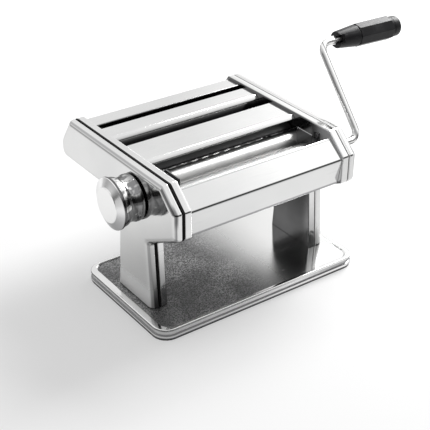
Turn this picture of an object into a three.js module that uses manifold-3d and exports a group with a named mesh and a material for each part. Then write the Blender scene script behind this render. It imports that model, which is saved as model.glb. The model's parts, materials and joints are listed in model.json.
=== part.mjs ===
// Hand-cranked pasta roller machine: a T-shaped body of two side walls on a pressed base, a pair of
// smooth rollers with an adjustable gap, and two pairs of cutters that the same crank can drive.
//
// Millimetres, +Z up, origin at the centre of the base on the surface it stands on.
// +X runs along the rollers towards the crank, -Y is the side where the rolled sheet comes out.

import * as THREE from 'three';
import { mergeVertices } from 'three/addons/utils/BufferGeometryUtils.js';
import Module from 'manifold-3d';

const wasm = await Module();
wasm.setup();

// ---------------------------------------------------------------- clearances and sheet
const GAP = 0.3;                    // between neighbours that are screwed, clipped or laid together
const RUNNING = 0.12;               // radial play of a journal in its bush
const SLIDING = 0.3;                // play of a block in its slot, or a plug in its socket
const SHEET = 1.0;                  // covers, bars and slats
const PLATE = 1.5;                  // side plates and brackets

// ---------------------------------------------------------------- overall layout
const BASE = { overhang: 13.5, depth: 136.4, height: 12, corner: 15, recess: 1, sole: 1.5 };
const PANEL = { sideBorder: 6.5, endBorder: 3.5, corner: 12 };   // the recessed middle of the base
const HEAD_TOP = 150;               // top edge of the side walls
const INNER_WALL = 85.6;            // inner face of each side wall, from the middle
const INNER_FLANGE = 7.8;           // depth of the inner covers
const OUTER_DEPTH = 8.6;            // depth of the outer covers
const OUTER_FILLET = 6;             // rounding of an outer cover's face
const INNER_FILLET = 1.6;           // rounding of an inner cover's face

// Side outline of the head, in (y, z).
const HEAD = { front: -71.9, rear: 128, lower: 106.3, frontLower: 103.3 };
const FRONT_CHAMFER = { depth: 22, drop: 19.7 };
const REAR_CHAMFER = { depth: 17.7, drop: 26 };
const COLUMN = { frontTop: -26.4, frontBottom: -32, rearTop: 21.6, rearBottom: 29.4, shoulder: 80 };
const COLUMN_REAR_FILLET = 22;
const REAR_EDGE = HEAD_TOP - REAR_CHAMFER.drop - HEAD.lower;      // upright edge at the head's rear

// ---------------------------------------------------------------- rollers and cutters
const ROLLER_Z = 120.3;
const FRONT_ROLLER_Y = -33.1;
const ROLLER_RADIUS = 12.95;
const THICKEST_SHEET = 2.5;         // roller gap with the dial at its first number
const THINNEST_SHEET = 0.3;
const ROLLER_END_PLAY = 0.6;        // from a roller's end to the side wall
const JOURNAL_RADIUS = 7.5;
const WORKING_HALF_WIDTH = 75;      // half the width of dough that the machine takes

const WIDE_CUTTER_Y = 47.2;
const NARROW_CUTTER_Y = 86.2;
const CUTTER_Z = 119;
const CUTTER_RADIUS = 10;
const CUTTER_SPACING = 17.5;        // between the axes of one pair
const WIDE_NOODLE = 6.5;
const NARROW_NOODLE = 4;
const MATE_JOURNAL_RADIUS = 4.5;

// ---------------------------------------------------------------- crank, knob and adjuster
const ROD_RADIUS = 3.5;
const CRANK_ELBOW_X = 141.4;        // centre line of the crank's arm
const ARM = { back: 65.5, up: 77.5 }; // from the crank's axis to the grip's end of the arm
const BEND_RADIUS = 11;
const SOCKET_DEPTH = 19.5;
const GRIP_DROOP = 0.025;           // the grip's axis falls by this per unit outwards
const GRIP = {
  start: 20.6, cone: 26.2, tip: 8.7, shoulder: 11.4, length: 71, corner: 12.1, endCorner: 12.5,
  turned: 10.4, cap: 10.9, capLength: 12, notch: 6, notchHalf: 4.5, notchTurned: 22,
};

const KNOB_AXIS_Y = -5.8;
const CAM_THROW = (THICKEST_SHEET - THINNEST_SHEET) / 2;
const SHAFT_RADIUS = 4;
const CAM_RADIUS = 6.5;
const CAM_PLAY = 0.4;               // room for the cam in its window
const KNOB = { rear: 22.2, waist: 21, rim: 24.6, face: 16.2, bodyDepth: 19.7, rimDepth: 2.3, bevelDepth: 4.5 };
const KNOB_STANDOFF = 1.5;
const INDEX_RADIUS = 15;
const INDEX_STEPS = 6;              // seven numbers, six steps apart over half a turn
const INDEX_PIN_RADIUS = 1.5;

// ---------------------------------------------------------------- bars, slats and scrapers
// Each length is measured back (+Y), forward, up or down from the edge or axis that the piece goes by.
const FRONT_BAR = {
  setBack: 1.3, ridgeDrop: 2.4, slopeBack: 19, slopeUp: 15.7, lipBack: 20.2, lipUp: 13.5, lipEndUp: 6.1,
  heelBack: 4.6, heelDrop: 2.3, returnBack: 8.6, returnDrop: 1.5,
};
const SLAT = { drop: 3, bendDrop: 3.5, lip: 6.1, lipForward: 2.2, lipBack: 1.8, lipDrop: 0.2, overCutter: 3 };
const WIDE_CHUTE = { front: 6, frontTop: 9.5, rear: 6.4, rearBend: 10.4, rearTop: 14 };
const NARROW_CHUTE = { front: 3, frontTop: 4.3, rear: 3.1, rearTop: 4 };
const REAR_BAR = { setIn: 2.4, returnIn: 8, returnUp: 2.7, heelUp: 5.2, shoulderDrop: 1, topIn: 1.6 };
const SCRAPER = { reach: 0.5, drop: 9, lean: 1.5, foot: 6, footDrop: 1 };

// ---------------------------------------------------------------- derived stations across the machine
const PLATE_IN = INNER_WALL + INNER_FLANGE;            // inner face of a side plate
const PLATE_OUT = PLATE_IN + PLATE;
const COVER_OUT = PLATE_OUT + OUTER_DEPTH;             // outer face of the machine's body
const COVER_IN = COVER_OUT - SHEET;
const BODY_END = INNER_WALL - GAP;                     // end of each bar, slat and comb
const ROLLER_END = INNER_WALL - ROLLER_END_PLAY;
const BASE_WIDTH = 2 * (COVER_OUT + BASE.overhang);
const BASE_TOP = BASE.height;
const PANEL_TOP = BASE_TOP - BASE.recess;
const COLUMN_FOOT = PANEL_TOP + GAP;
const REAR_ROLLER_Y = FRONT_ROLLER_Y + 2 * ROLLER_RADIUS + THICKEST_SHEET;
const GEAR = { from: INNER_WALL + SHEET + 0.8, width: 5 };
const DRIVE_END = COVER_IN - SHEET;                    // outer end of the three sockets
const BLOCK = { from: PLATE_IN - 0.5, bearing: 3.3, window: 3.3, halfLength: 11, halfHeight: 10 };
const CAM_FROM = BLOCK.from + BLOCK.bearing + SLIDING;
const BRIDGE_FROM = BLOCK.from + BLOCK.bearing + BLOCK.window + 0.4;
const SLAT_TOP = HEAD_TOP - SLAT.drop;

const FINISH = {
  mirror: { color: 0xe4e6e8, roughness: 0.12, metalness: 1 },
  satin: { color: 0xc3c6c9, roughness: 0.35, metalness: 1 },
  steel: { color: 0x9da1a5, roughness: 0.45, metalness: 1 },
  dark: { color: 0x1d1e20, roughness: 0.5, metalness: 0.3 },
  black: { color: 0x17181a, roughness: 0.4, metalness: 0 },
  rubber: { color: 0x121212, roughness: 0.8, metalness: 0 },
  nylon: { color: 0xe9e6dc, roughness: 0.6, metalness: 0 },
};

const machine = new THREE.Group();

// ---------------------------------------------------------------- solids
/** Closed, merged and outward-facing solid from any closed three.js geometry. */
function solid(geometry) {
  const bare = geometry.index ? geometry.toNonIndexed() : geometry.clone();
  for (const name of Object.keys(bare.attributes)) if (name !== 'position') bare.deleteAttribute(name);
  const merged = mergeVertices(bare, 1e-4);
  const position = merged.attributes.position;
  const corners = [];
  const a = new THREE.Vector3();
  const b = new THREE.Vector3();
  const c = new THREE.Vector3();
  let volume = 0;
  for (let i = 0; i < merged.index.count; i += 3) {
    const [p, q, r] = [0, 1, 2].map((k) => merged.index.getX(i + k));
    if (p === q || q === r || r === p) continue;
    corners.push(p, q, r);
    a.fromBufferAttribute(position, p);
    b.fromBufferAttribute(position, q);
    c.fromBufferAttribute(position, r);
    volume += a.dot(b.cross(c));
  }
  if (volume < 0) corners.reverse();
  const mesh = new wasm.Mesh({
    numProp: 3,
    vertProperties: new Float32Array(position.array),
    triVerts: new Uint32Array(corners),
  });
  return new wasm.Manifold(mesh);
}

const join = (...solids) => solids.flat(Infinity).reduce((sum, next) => sum.add(next));
const cut = (body, ...tools) => tools.flat(Infinity).reduce((rest, tool) => rest.subtract(tool), body);

/** Adds a piece to the machine as one named mesh. */
function piece(name, body, finish) {
  const { vertProperties, triVerts, numProp } = body.getMesh();
  const geometry = new THREE.BufferGeometry();
  const points = new Float32Array((vertProperties.length / numProp) * 3);
  for (let i = 0; i < points.length / 3; i += 1) {
    for (let k = 0; k < 3; k += 1) points[i * 3 + k] = vertProperties[i * numProp + k];
  }
  geometry.setAttribute('position', new THREE.BufferAttribute(points, 3));
  geometry.setIndex([...triVerts]);
  geometry.computeVertexNormals();
  const mesh = new THREE.Mesh(geometry, new THREE.MeshStandardMaterial({ ...finish, flatShading: true }));
  mesh.name = name;
  machine.add(mesh);
  return mesh;
}

const SIDES = [['left', -1], ['right', 1]];

/** The same solid on the other side of the machine. */
const mirrored = (body) => body.mirror([1, 0, 0]);
const onSide = (side, body) => (side < 0 ? mirrored(body) : body);

const TO_X = new THREE.Matrix4().makeBasis(
  new THREE.Vector3(0, 1, 0), new THREE.Vector3(0, 0, 1), new THREE.Vector3(1, 0, 0));

/** Extrudes an outline drawn in (y, z) from x0 to x1. */
function alongX(shape, x0, x1, curveSegments = 6) {
  const geometry = new THREE.ExtrudeGeometry(shape, { depth: x1 - x0, bevelEnabled: false, curveSegments });
  return solid(geometry.applyMatrix4(TO_X).translate(x0, 0, 0));
}

/** Extrudes an outline drawn in (x, y) from z0 to z1. */
function alongZ(shape, z0, z1, curveSegments = 6) {
  const geometry = new THREE.ExtrudeGeometry(shape, { depth: z1 - z0, bevelEnabled: false, curveSegments });
  return solid(geometry.translate(0, 0, z0));
}

/** Extrudes an outline drawn in (x, z) from y0 to y1. */
function alongY(shape, y0, y1) {
  const geometry = new THREE.ExtrudeGeometry(shape, { depth: y1 - y0, bevelEnabled: false });
  return solid(geometry.rotateX(Math.PI / 2).translate(0, y1, 0));
}

function box(x0, x1, y0, y1, z0, z1) {
  const geometry = new THREE.BoxGeometry(x1 - x0, y1 - y0, z1 - z0);
  return solid(geometry.translate((x0 + x1) / 2, (y0 + y1) / 2, (z0 + z1) / 2));
}

/** Round bar along X. */
function barX(radius, x0, x1, y, z, segments = 20) {
  const geometry = new THREE.CylinderGeometry(radius, radius, x1 - x0, segments);
  return solid(geometry.rotateZ(-Math.PI / 2).translate((x0 + x1) / 2, y, z));
}

/** Round bar along Z. */
function barZ(radius, z0, z1, x, y, segments = 12) {
  const geometry = new THREE.CylinderGeometry(radius, radius, z1 - z0, segments);
  return solid(geometry.rotateX(Math.PI / 2).translate(x, y, (z0 + z1) / 2));
}

/** Radius that a faceted hole needs to clear a round bar by the given play. */
const holeFor = (radius, play, segments = 20) => (radius + play) / Math.cos(Math.PI / segments);

/** Turned piece about an X axis, from a profile of (x, radius) that starts and ends on the axis. */
function turnedX(profile, y, z, segments) {
  const points = profile.map(([x, radius]) => new THREE.Vector2(radius, x));
  const geometry = new THREE.LatheGeometry(points, segments);
  return solid(geometry.rotateZ(-Math.PI / 2).translate(0, y, z));
}

// ---------------------------------------------------------------- outlines
const polygon = (corners) => new THREE.Shape(corners.map(([u, v]) => new THREE.Vector2(u, v)));

function roundedRectangle(width, depth, radius) {
  const [u, v] = [width / 2 - radius, depth / 2 - radius];
  const shape = new THREE.Shape();
  [[u, -v, -0.5], [u, v, 0], [-u, v, 0.5], [-u, -v, 1]].forEach(([cu, cv, turn]) => {
    shape.absarc(cu, cv, radius, turn * Math.PI, (turn + 0.5) * Math.PI, false);
  });
  return shape;
}

/** Line through the outline's edge from a to b, moved inwards (to the left of its direction). */
function movedEdge(a, b, inset) {
  const along = new THREE.Vector2(b[0] - a[0], b[1] - a[1]).normalize();
  return { point: new THREE.Vector2(a[0] - along.y * inset, a[1] + along.x * inset), along };
}

function crossing(first, second) {
  const apart = second.point.clone().sub(first.point);
  const t = apart.cross(second.along) / first.along.cross(second.along);
  return first.point.clone().addScaledVector(first.along, t);
}

/**
 * Points of an outline of corners [u, v, radius], anticlockwise, moved inwards by inset. Outer corners
 * lose the inset from their radius and inner corners gain it. A ring's points match those of any other
 * ring of the same corners, whatever their insets.
 */
function filletedOutline(corners, inset) {
  const count = corners.length;
  const edges = corners.map((corner, i) => movedEdge(corner, corners[(i + 1) % count], inset));
  return corners.flatMap((corner, i) => {
    const into = edges[(i + count - 1) % count];
    const out = edges[i];
    const apex = crossing(into, out);
    const turn = Math.atan2(into.along.cross(out.along), into.along.dot(out.along));
    if (corner[2] === 0) return [apex];
    const steps = corner[2] < 6 ? 2 : 3;
    const radius = Math.max(turn > 0 ? corner[2] - inset : corner[2] + inset, 0.25);
    const reach = radius * Math.tan(Math.abs(turn) / 2);
    const start = apex.clone().addScaledVector(into.along, -reach);
    const normal = new THREE.Vector2(-into.along.y, into.along.x).multiplyScalar(Math.sign(turn) * radius);
    const centre = start.clone().add(normal);
    return Array.from({ length: steps + 1 }, (_, k) => start.clone().rotateAround(centre, (turn * k) / steps));
  });
}

/** Closed skin through rings of equal point counts, each {x, points}, capped at both ends. */
function skin(rings) {
  const count = rings[0].points.length;
  const position = rings.flatMap(({ x, points }) => points.flatMap((p) => [x, p.x, p.y]));
  const index = [];
  for (let r = 0; r + 1 < rings.length; r += 1) {
    for (let i = 0; i < count; i += 1) {
      const [a, b] = [r * count + i, r * count + ((i + 1) % count)];
      index.push(a, b, b + count, a, b + count, a + count);
    }
  }
  const first = THREE.ShapeUtils.triangulateShape(rings[0].points, []);
  const last = THREE.ShapeUtils.triangulateShape(rings.at(-1).points, []);
  first.forEach(([a, b, c]) => index.push(c, b, a));
  const top = (rings.length - 1) * count;
  last.forEach(([a, b, c]) => index.push(top + a, top + b, top + c));
  const geometry = new THREE.BufferGeometry();
  geometry.setAttribute('position', new THREE.Float32BufferAttribute(position, 3));
  geometry.setIndex(index);
  return solid(geometry);
}

/** Bent sheet: a polyline of (u, v) given a thickness to the left of its direction. */
function sheetOutline(line, thickness) {
  const edges = line.slice(1).map((b, i) => movedEdge(line[i], b, thickness));
  const far = line.map((p, i) => {
    if (i === 0) return edges[0].point;
    const last = edges.at(-1);
    if (i === line.length - 1) {
      return new THREE.Vector2(p[0] - last.along.y * thickness, p[1] + last.along.x * thickness);
    }
    return crossing(edges[i - 1], edges[i]);
  });
  return new THREE.Shape([...line.map(([u, v]) => new THREE.Vector2(u, v)), ...far.reverse()]);
}

// ---------------------------------------------------------------- side walls
const BELOW = -20;                  // the column outline runs on below its foot, where it is cut off
const ROOM = 300;                   // further than the machine reaches

/** Corners of the T-shaped side outline, anticlockwise in (y, z). */
function sideCorners() {
  const slope = (top, bottom) => bottom + ((bottom - top) * (COLUMN_FOOT - BELOW)) / (HEAD.lower - COLUMN_FOOT);
  return [
    [slope(COLUMN.frontTop, COLUMN.frontBottom), BELOW, 0],
    [slope(COLUMN.rearTop, COLUMN.rearBottom), BELOW, 0],
    [COLUMN.rearTop, HEAD.lower, COLUMN_REAR_FILLET],
    [HEAD.rear, HEAD.lower, REAR_EDGE / 2],
    [HEAD.rear, HEAD_TOP - REAR_CHAMFER.drop, (2 * REAR_EDGE) / 3],
    [HEAD.rear - REAR_CHAMFER.depth, HEAD_TOP, 3],
    [HEAD.front + FRONT_CHAMFER.depth, HEAD_TOP, 3],
    [HEAD.front, HEAD_TOP - FRONT_CHAMFER.drop, 3],
    [HEAD.front, HEAD.frontLower, 4],
    [COLUMN.frontTop, COLUMN.shoulder, 5],
  ];
}

const CORNERS = sideCorners();
const sideRing = (x, inset) => ({ x, points: filletedOutline(CORNERS, inset) });
const aboveFoot = box(-ROOM, ROOM, -ROOM, ROOM, COLUMN_FOOT, ROOM);

/** Rings of a face rounded into its rim, from the rim inwards or back. */
function roundedRings(rim, face, radius, inset, steps) {
  const direction = Math.sign(face - rim);
  const rings = [sideRing(rim, inset)];
  for (let k = 0; k <= steps; k += 1) {
    const angle = (k / steps) * (Math.PI / 2);
    rings.push(sideRing(face - direction * radius * (1 - Math.sin(angle)),
      inset + radius * (1 - Math.cos(angle))));
  }
  return rings;
}

/** Pressed cover: open at the rim, with a face rounded into its walls. */
function pressedCover(rim, face, radius, steps) {
  const direction = Math.sign(face - rim);
  const outside = roundedRings(rim, face, radius, 0, steps);
  const inside = roundedRings(rim, face - direction * SHEET, Math.max(radius - SHEET, 0.4), SHEET, steps);
  return skin([...inside.reverse(), ...outside]).intersect(aboveFoot);
}

const CUTTERS = [
  { name: 'wide_cutter', y: WIDE_CUTTER_Y, noodle: WIDE_NOODLE, segments: 8 },
  { name: 'narrow_cutter', y: NARROW_CUTTER_Y, noodle: NARROW_NOODLE, segments: 8 },
];
const DRIVEN = CUTTERS.map(({ y }) => y - CUTTER_SPACING / 2);
const MATES = CUTTERS.map(({ y }) => y + CUTTER_SPACING / 2);
const DRIVE_RADIUS = 6;             // outside of each cutter's driven journal
const HEX_RADIUS = ROD_RADIUS;      // corners of the crank's hexagonal plug
const SOCKET_RADIUS = HEX_RADIUS + SLIDING / Math.cos(Math.PI / 6);

// Riveted ties between the side plates, hidden under the bars and slats, in (y, z).
const TIE = { radius: 4, neck: 2, headRadius: 3.2, head: 1.2 };
const TIE_UNDER = 8.5;              // from a slat's top down to its tie
const TIES = [
  [HEAD.front + 3 * TIE.radius, ROLLER_Z - TIE.radius],
  [(REAR_ROLLER_Y + WIDE_CUTTER_Y) / 2, SLAT_TOP - TIE_UNDER],
  [(WIDE_CUTTER_Y + NARROW_CUTTER_Y) / 2 + TIE.radius, SLAT_TOP - TIE_UNDER],
  [HEAD.rear - 3 * TIE.radius, HEAD_TOP - REAR_CHAMFER.drop + TIE.radius],
];

const BUSH_WALL = 1.8;
const BUSH_FLANGE = 1.3;            // how far a bush's flange stands out from its body
const FRONT_SEAT = { y: FRONT_ROLLER_Y, z: ROLLER_Z, journal: JOURNAL_RADIUS };
const BEARING_STRIP = { thickness: 2.5, height: 19, margin: 8.6 };
const JOURNAL_END = PLATE_OUT + GAP + BEARING_STRIP.thickness - 0.3;

/** Journal seats of the cutters in one side wall: the crank drives the front one of each pair. */
function cutterSeats(side) {
  const driven = side > 0 ? DRIVE_RADIUS : MATE_JOURNAL_RADIUS;
  return [...DRIVEN.map((y) => ({ y, z: CUTTER_Z, journal: driven })),
    ...MATES.map((y) => ({ y, z: CUTTER_Z, journal: MATE_JOURNAL_RADIUS }))];
}

const seatsOn = (side) => [FRONT_SEAT, ...cutterSeats(side)];

const CAM_TRAVEL = 2 * CAM_THROW;
const SLOT = {
  from: REAR_ROLLER_Y - BLOCK.halfLength - CAM_TRAVEL - SLIDING,
  to: REAR_ROLLER_Y + BLOCK.halfLength + SLIDING,
  halfHeight: BLOCK.halfHeight + SLIDING,
};
const FOOT = { width: 6.5, halfLength: 24, screwY: 16, screw: 2, head: 3.6 };
const FOOT_X = PLATE_OUT + FOOT.width / 2;
const BRIDGE = { halfWidth: 5.5, tabHalfWidth: 3, legZ: 13.6 };

/** Leg of a bridge, or with some play the slot that its tab goes through. */
function bridgeLeg(up, halfWidth, play, x0, x1) {
  const [near, far] = [BRIDGE.legZ - play, BRIDGE.legZ + PLATE + play].map((z) => ROLLER_Z + up * z)
    .sort((a, b) => a - b);
  return box(x0, x1, KNOB_AXIS_Y - halfWidth, KNOB_AXIS_Y + halfWidth, near, far);
}

function sidePlate(side) {
  const [inner, outer] = [PLATE_IN + GAP / 2, PLATE_OUT - GAP / 2];
  const plate = skin([sideRing(inner, 0), sideRing(outer, 0)]).intersect(aboveFoot);
  const foot = box(inner, PLATE_OUT + FOOT.width,
    -FOOT.halfLength, FOOT.halfLength, COLUMN_FOOT, COLUMN_FOOT + PLATE);
  const through = (radius, y, z, segments) => barX(radius, PLATE_IN - 1, PLATE_OUT + 1, y, z, segments);
  const openings = [
    ...seatsOn(side).map(({ y, z, journal }) => through(holeFor(journal + BUSH_WALL, GAP, 12), y, z, 12)),
    ...TIES.map(([y, z]) => through(holeFor(TIE.neck, GAP, 6), y, z, 6)),
    ...[-1, 1].map((up) => bridgeLeg(up, BRIDGE.tabHalfWidth + GAP, GAP, PLATE_IN - 1, PLATE_OUT + 1)),
    ...[-1, 1].map((way) => barZ(holeFor(FOOT.screw, GAP, 6), 0, 30, FOOT_X, way * FOOT.screwY, 6)),
    box(PLATE_IN - 1, PLATE_OUT + 1, SLOT.from, SLOT.to,
      ROLLER_Z - SLOT.halfHeight, ROLLER_Z + SLOT.halfHeight),
  ];
  return cut(join(plate, foot), openings);
}

function innerCover(side) {
  const cover = pressedCover(PLATE_IN, INNER_WALL, INNER_FILLET, 1);
  const through = (radius, y, z, segments) => barX(radius, INNER_WALL - 1, INNER_WALL + 2, y, z, segments);
  return cut(cover,
    seatsOn(side).map(({ y, z, journal }) => through(holeFor(journal, 0.8, 10), y, z, 10)),
    TIES.map(([y, z]) => through(holeFor(TIE.radius, GAP, 8), y, z, 8)),
    through(holeFor(JOURNAL_RADIUS + CAM_THROW, 0.8, 10), KNOB_AXIS_Y, ROLLER_Z, 10),
    through(holeFor(GUIDE.rivet, GAP, 6), GUIDE.rivetY, GUIDE.rivetZ, 6));
}

const CRANK_HOLE = ROD_RADIUS + 2;

function outerCover(side) {
  const cover = pressedCover(PLATE_OUT, COVER_OUT, OUTER_FILLET, 3);
  const through = (radius, y, z, segments) => barX(radius, COVER_IN - 1, COVER_OUT + 1, y, z, segments);
  if (side > 0) {
    return cut(cover, through(CRANK_HOLE, FRONT_ROLLER_Y, ROLLER_Z, 16),
      DRIVEN.map((y) => through(CRANK_HOLE, y, CUTTER_Z, 16)));
  }
  const indexHoles = Array.from({ length: INDEX_STEPS + 1 }, (_, k) => {
    const angle = -(k / INDEX_STEPS) * Math.PI;
    return through(INDEX_PIN_RADIUS + GAP, KNOB_AXIS_Y + INDEX_RADIUS * Math.cos(angle),
      ROLLER_Z + INDEX_RADIUS * Math.sin(angle), 6);
  });
  return cut(cover, through(SHAFT_RADIUS + 1, KNOB_AXIS_Y, ROLLER_Z, 16), indexHoles);
}

// ---------------------------------------------------------------- dough guides
const GUIDE = {
  sheet: 1.2,
  from: FRONT_ROLLER_Y - 4.7,
  to: FRONT_ROLLER_Y + 16.8,
  tabTo: FRONT_ROLLER_Y + 2.1,
  web: ROLLER_Z + ROLLER_RADIUS + 1,
  top: ROLLER_Z + 23.2,
  rivet: 1.4,
  rivetY: FRONT_ROLLER_Y - 1.8,
  rivetZ: ROLLER_Z + 19.3,
};
const GUIDE_PLAY = 0.7;

/** Fin over the rollers at the edge of the working width, with a web and a tab to the side wall. */
function doughGuide() {
  const fin = alongX(polygon([
    [GUIDE.from, GUIDE.top], [GUIDE.from, ROLLER_Z + 8], [(FRONT_ROLLER_Y + REAR_ROLLER_Y) / 2, ROLLER_Z],
    [GUIDE.to, ROLLER_Z + 8], [GUIDE.to, GUIDE.top]]), WORKING_HALF_WIDTH, WORKING_HALF_WIDTH + GUIDE.sheet);
  const clearOf = (y) => barX(holeFor(ROLLER_RADIUS, GUIDE_PLAY, 32),
    WORKING_HALF_WIDTH - 5, WORKING_HALF_WIDTH + 5, y, ROLLER_Z, 32);
  const web = box(WORKING_HALF_WIDTH, BODY_END, GUIDE.from, GUIDE.tabTo, GUIDE.web, GUIDE.web + GUIDE.sheet);
  const tab = box(BODY_END - GUIDE.sheet, BODY_END, GUIDE.from, GUIDE.tabTo, GUIDE.web, GUIDE.rivetZ + 3);
  const rivetHole = barX(GUIDE.rivet + GAP, BODY_END - 3, BODY_END + 1, GUIDE.rivetY, GUIDE.rivetZ, 8);
  const rollers = [FRONT_ROLLER_Y, REAR_ROLLER_Y, REAR_ROLLER_Y - CAM_TRAVEL].map(clearOf);
  return cut(join(cut(fin, rollers), web, tab), rivetHole);
}

function guideRivet() {
  const { rivet, rivetY, rivetZ } = GUIDE;
  return join(
    barX(rivet, BODY_END - GUIDE.sheet - 0.5, INNER_WALL + SHEET + 0.5, rivetY, rivetZ, 6),
    barX(rivet * 1.7, BODY_END - GUIDE.sheet - GAP - 0.7, BODY_END - GUIDE.sheet - GAP, rivetY, rivetZ, 8),
    barX(rivet * 1.5, INNER_WALL + SHEET + GAP, INNER_WALL + SHEET + GAP + 0.5, rivetY, rivetZ, 6));
}

for (const [name, side] of SIDES) {
  piece(`${name}_side_plate`, onSide(side, sidePlate(side)), FINISH.dark);
  piece(`${name}_inner_cover`, onSide(side, innerCover(side)), FINISH.mirror);
  piece(`${name}_outer_cover`, onSide(side, outerCover(side)), FINISH.mirror);
  piece(`${name}_dough_guide`, onSide(side, doughGuide()), FINISH.satin);
  piece(`${name}_guide_rivet`, onSide(side, guideRivet()), FINISH.steel);
}

// ---------------------------------------------------------------- base
/** Layer of the base: its outline drawn in by inset, from z0 to z1. */
function baseLayer(inset, z0, z1) {
  const outline = roundedRectangle(BASE_WIDTH - 2 * inset, BASE.depth - 2 * inset, BASE.corner - inset);
  return alongZ(outline, z0, z1, 3);
}

function baseShell() {
  const rim = BASE.sole + GAP;
  const [beadTop, grooveTop] = [rim + 3, BASE_TOP - 2.6];
  const outside = join(
    baseLayer(0, rim, beadTop), baseLayer(1.6, beadTop - 0.5, grooveTop + 0.5),
    baseLayer(0, grooveTop, BASE_TOP - 1.2), baseLayer(1, BASE_TOP - 2, BASE_TOP));
  const hollow = baseLayer(1.6 + SHEET, rim - 1, PANEL_TOP - SHEET);
  const [width, depth] = [BASE_WIDTH - 2 * PANEL.sideBorder, BASE.depth - 2 * PANEL.endBorder];
  const panel = alongZ(roundedRectangle(width, depth, PANEL.corner), PANEL_TOP, BASE_TOP + 1, 3);
  const screwHoles = SIDES.flatMap(([, side]) => [-1, 1].map((way) => (
    barZ(holeFor(FOOT.screw, GAP, 6), rim, BASE_TOP + 1, side * FOOT_X, way * FOOT.screwY, 6))));
  return cut(outside, hollow, panel, screwHoles);
}

function footScrew(x, y) {
  const under = PANEL_TOP - SHEET - GAP;
  return join(barZ(FOOT.head, under - 2.2, under, x, y, 8),
    barZ(FOOT.screw, under - 1, COLUMN_FOOT + PLATE + 3, x, y, 8));
}

piece('base_sole', baseLayer(0.5, 0, BASE.sole), FINISH.rubber);
piece('base_shell', baseShell(), FINISH.mirror);
for (const [name, side] of SIDES) {
  piece(`${name}_front_foot_screw`, footScrew(side * FOOT_X, -FOOT.screwY), FINISH.steel);
  piece(`${name}_rear_foot_screw`, footScrew(side * FOOT_X, FOOT.screwY), FINISH.steel);
}

// ---------------------------------------------------------------- bars, slats and ties
const fullWidth = (line) => alongX(sheetOutline(line, SHEET), -BODY_END, BODY_END);

const NIP_TOP = CUTTER_Z + CUTTER_RADIUS + SLAT.overCutter;      // lower end of the chutes over the cutters

function frontBar() {
  const [y, z] = [HEAD.front + FRONT_BAR.setBack, HEAD_TOP - FRONT_CHAMFER.drop - FRONT_BAR.ridgeDrop];
  return fullWidth([
    [y + FRONT_BAR.slopeBack, z + FRONT_BAR.lipEndUp], [y + FRONT_BAR.lipBack, z + FRONT_BAR.lipUp],
    [y + FRONT_BAR.slopeBack, z + FRONT_BAR.slopeUp], [y, z],
    [y + FRONT_BAR.heelBack, HEAD.frontLower - FRONT_BAR.heelDrop],
    [y + FRONT_BAR.returnBack, HEAD.frontLower - FRONT_BAR.returnDrop]]);
}

/** Slat between the rear roller and the wide cutter; its front lip keeps just off the roller. */
function frontSlat() {
  const lip = REAR_ROLLER_Y + SLAT.lip;
  return fullWidth([
    [WIDE_CUTTER_Y - WIDE_CHUTE.front, NIP_TOP], [WIDE_CUTTER_Y - WIDE_CHUTE.frontTop, SLAT_TOP],
    [lip + SLAT.lipBack, SLAT_TOP], [lip - SLAT.lipForward, SLAT_TOP - SLAT.bendDrop],
    [lip, ROLLER_Z + ROLLER_RADIUS - SLAT.lipDrop]]);
}

function middleSlat() {
  return fullWidth([
    [NARROW_CUTTER_Y - NARROW_CHUTE.front, NIP_TOP], [NARROW_CUTTER_Y - NARROW_CHUTE.frontTop, SLAT_TOP],
    [WIDE_CUTTER_Y + WIDE_CHUTE.rearTop, SLAT_TOP],
    [WIDE_CUTTER_Y + WIDE_CHUTE.rearBend, SLAT_TOP - SLAT.bendDrop],
    [WIDE_CUTTER_Y + WIDE_CHUTE.rear, NIP_TOP]]);
}

function rearBar() {
  const back = HEAD.rear - REAR_BAR.setIn;
  return fullWidth([
    [HEAD.rear - REAR_BAR.returnIn, HEAD.lower + REAR_BAR.returnUp], [back, HEAD.lower + REAR_BAR.heelUp],
    [back, HEAD_TOP - REAR_CHAMFER.drop - REAR_BAR.shoulderDrop],
    [HEAD.rear - REAR_CHAMFER.depth - REAR_BAR.topIn, SLAT_TOP],
    [NARROW_CUTTER_Y + NARROW_CHUTE.rearTop, SLAT_TOP], [NARROW_CUTTER_Y + NARROW_CHUTE.rear, NIP_TOP]]);
}

piece('front_bar', frontBar(), FINISH.mirror);
piece('front_slat', frontSlat(), FINISH.mirror);
piece('middle_slat', middleSlat(), FINISH.mirror);
piece('rear_bar', rearBar(), FINISH.mirror);

/** Tie with a shoulder at each side plate, riveted over on its outer face. */
function tieRod([y, z]) {
  const [shoulder, seat] = [PLATE_IN - GAP / 2, PLATE_OUT + GAP / 2];
  const half = [[shoulder, TIE.radius], [shoulder, TIE.neck], [seat, TIE.neck], [seat, TIE.headRadius],
    [seat + TIE.head, TIE.headRadius - 0.8], [seat + TIE.head, 0]];
  const mirroredHalf = half.map(([x, radius]) => [-x, radius]).reverse();
  return turnedX([...mirroredHalf, ...half], y, z, 8);
}

['front_tie', 'front_slat_tie', 'middle_slat_tie', 'rear_tie'].forEach((name, i) => {
  piece(name, tieRod(TIES[i]), FINISH.steel);
});

// ---------------------------------------------------------------- bushes
const BUSH_FROM = PLATE_IN - 0.5;
const boreOf = ({ y, z, journal }) => barX(holeFor(journal, RUNNING, 12), BUSH_FROM - 1, COVER_IN, y, z, 12);
const spigotOf = ({ y, z, journal }) => barX(journal + BUSH_WALL, BUSH_FROM, PLATE_OUT + 1, y, z, 12);

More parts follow.
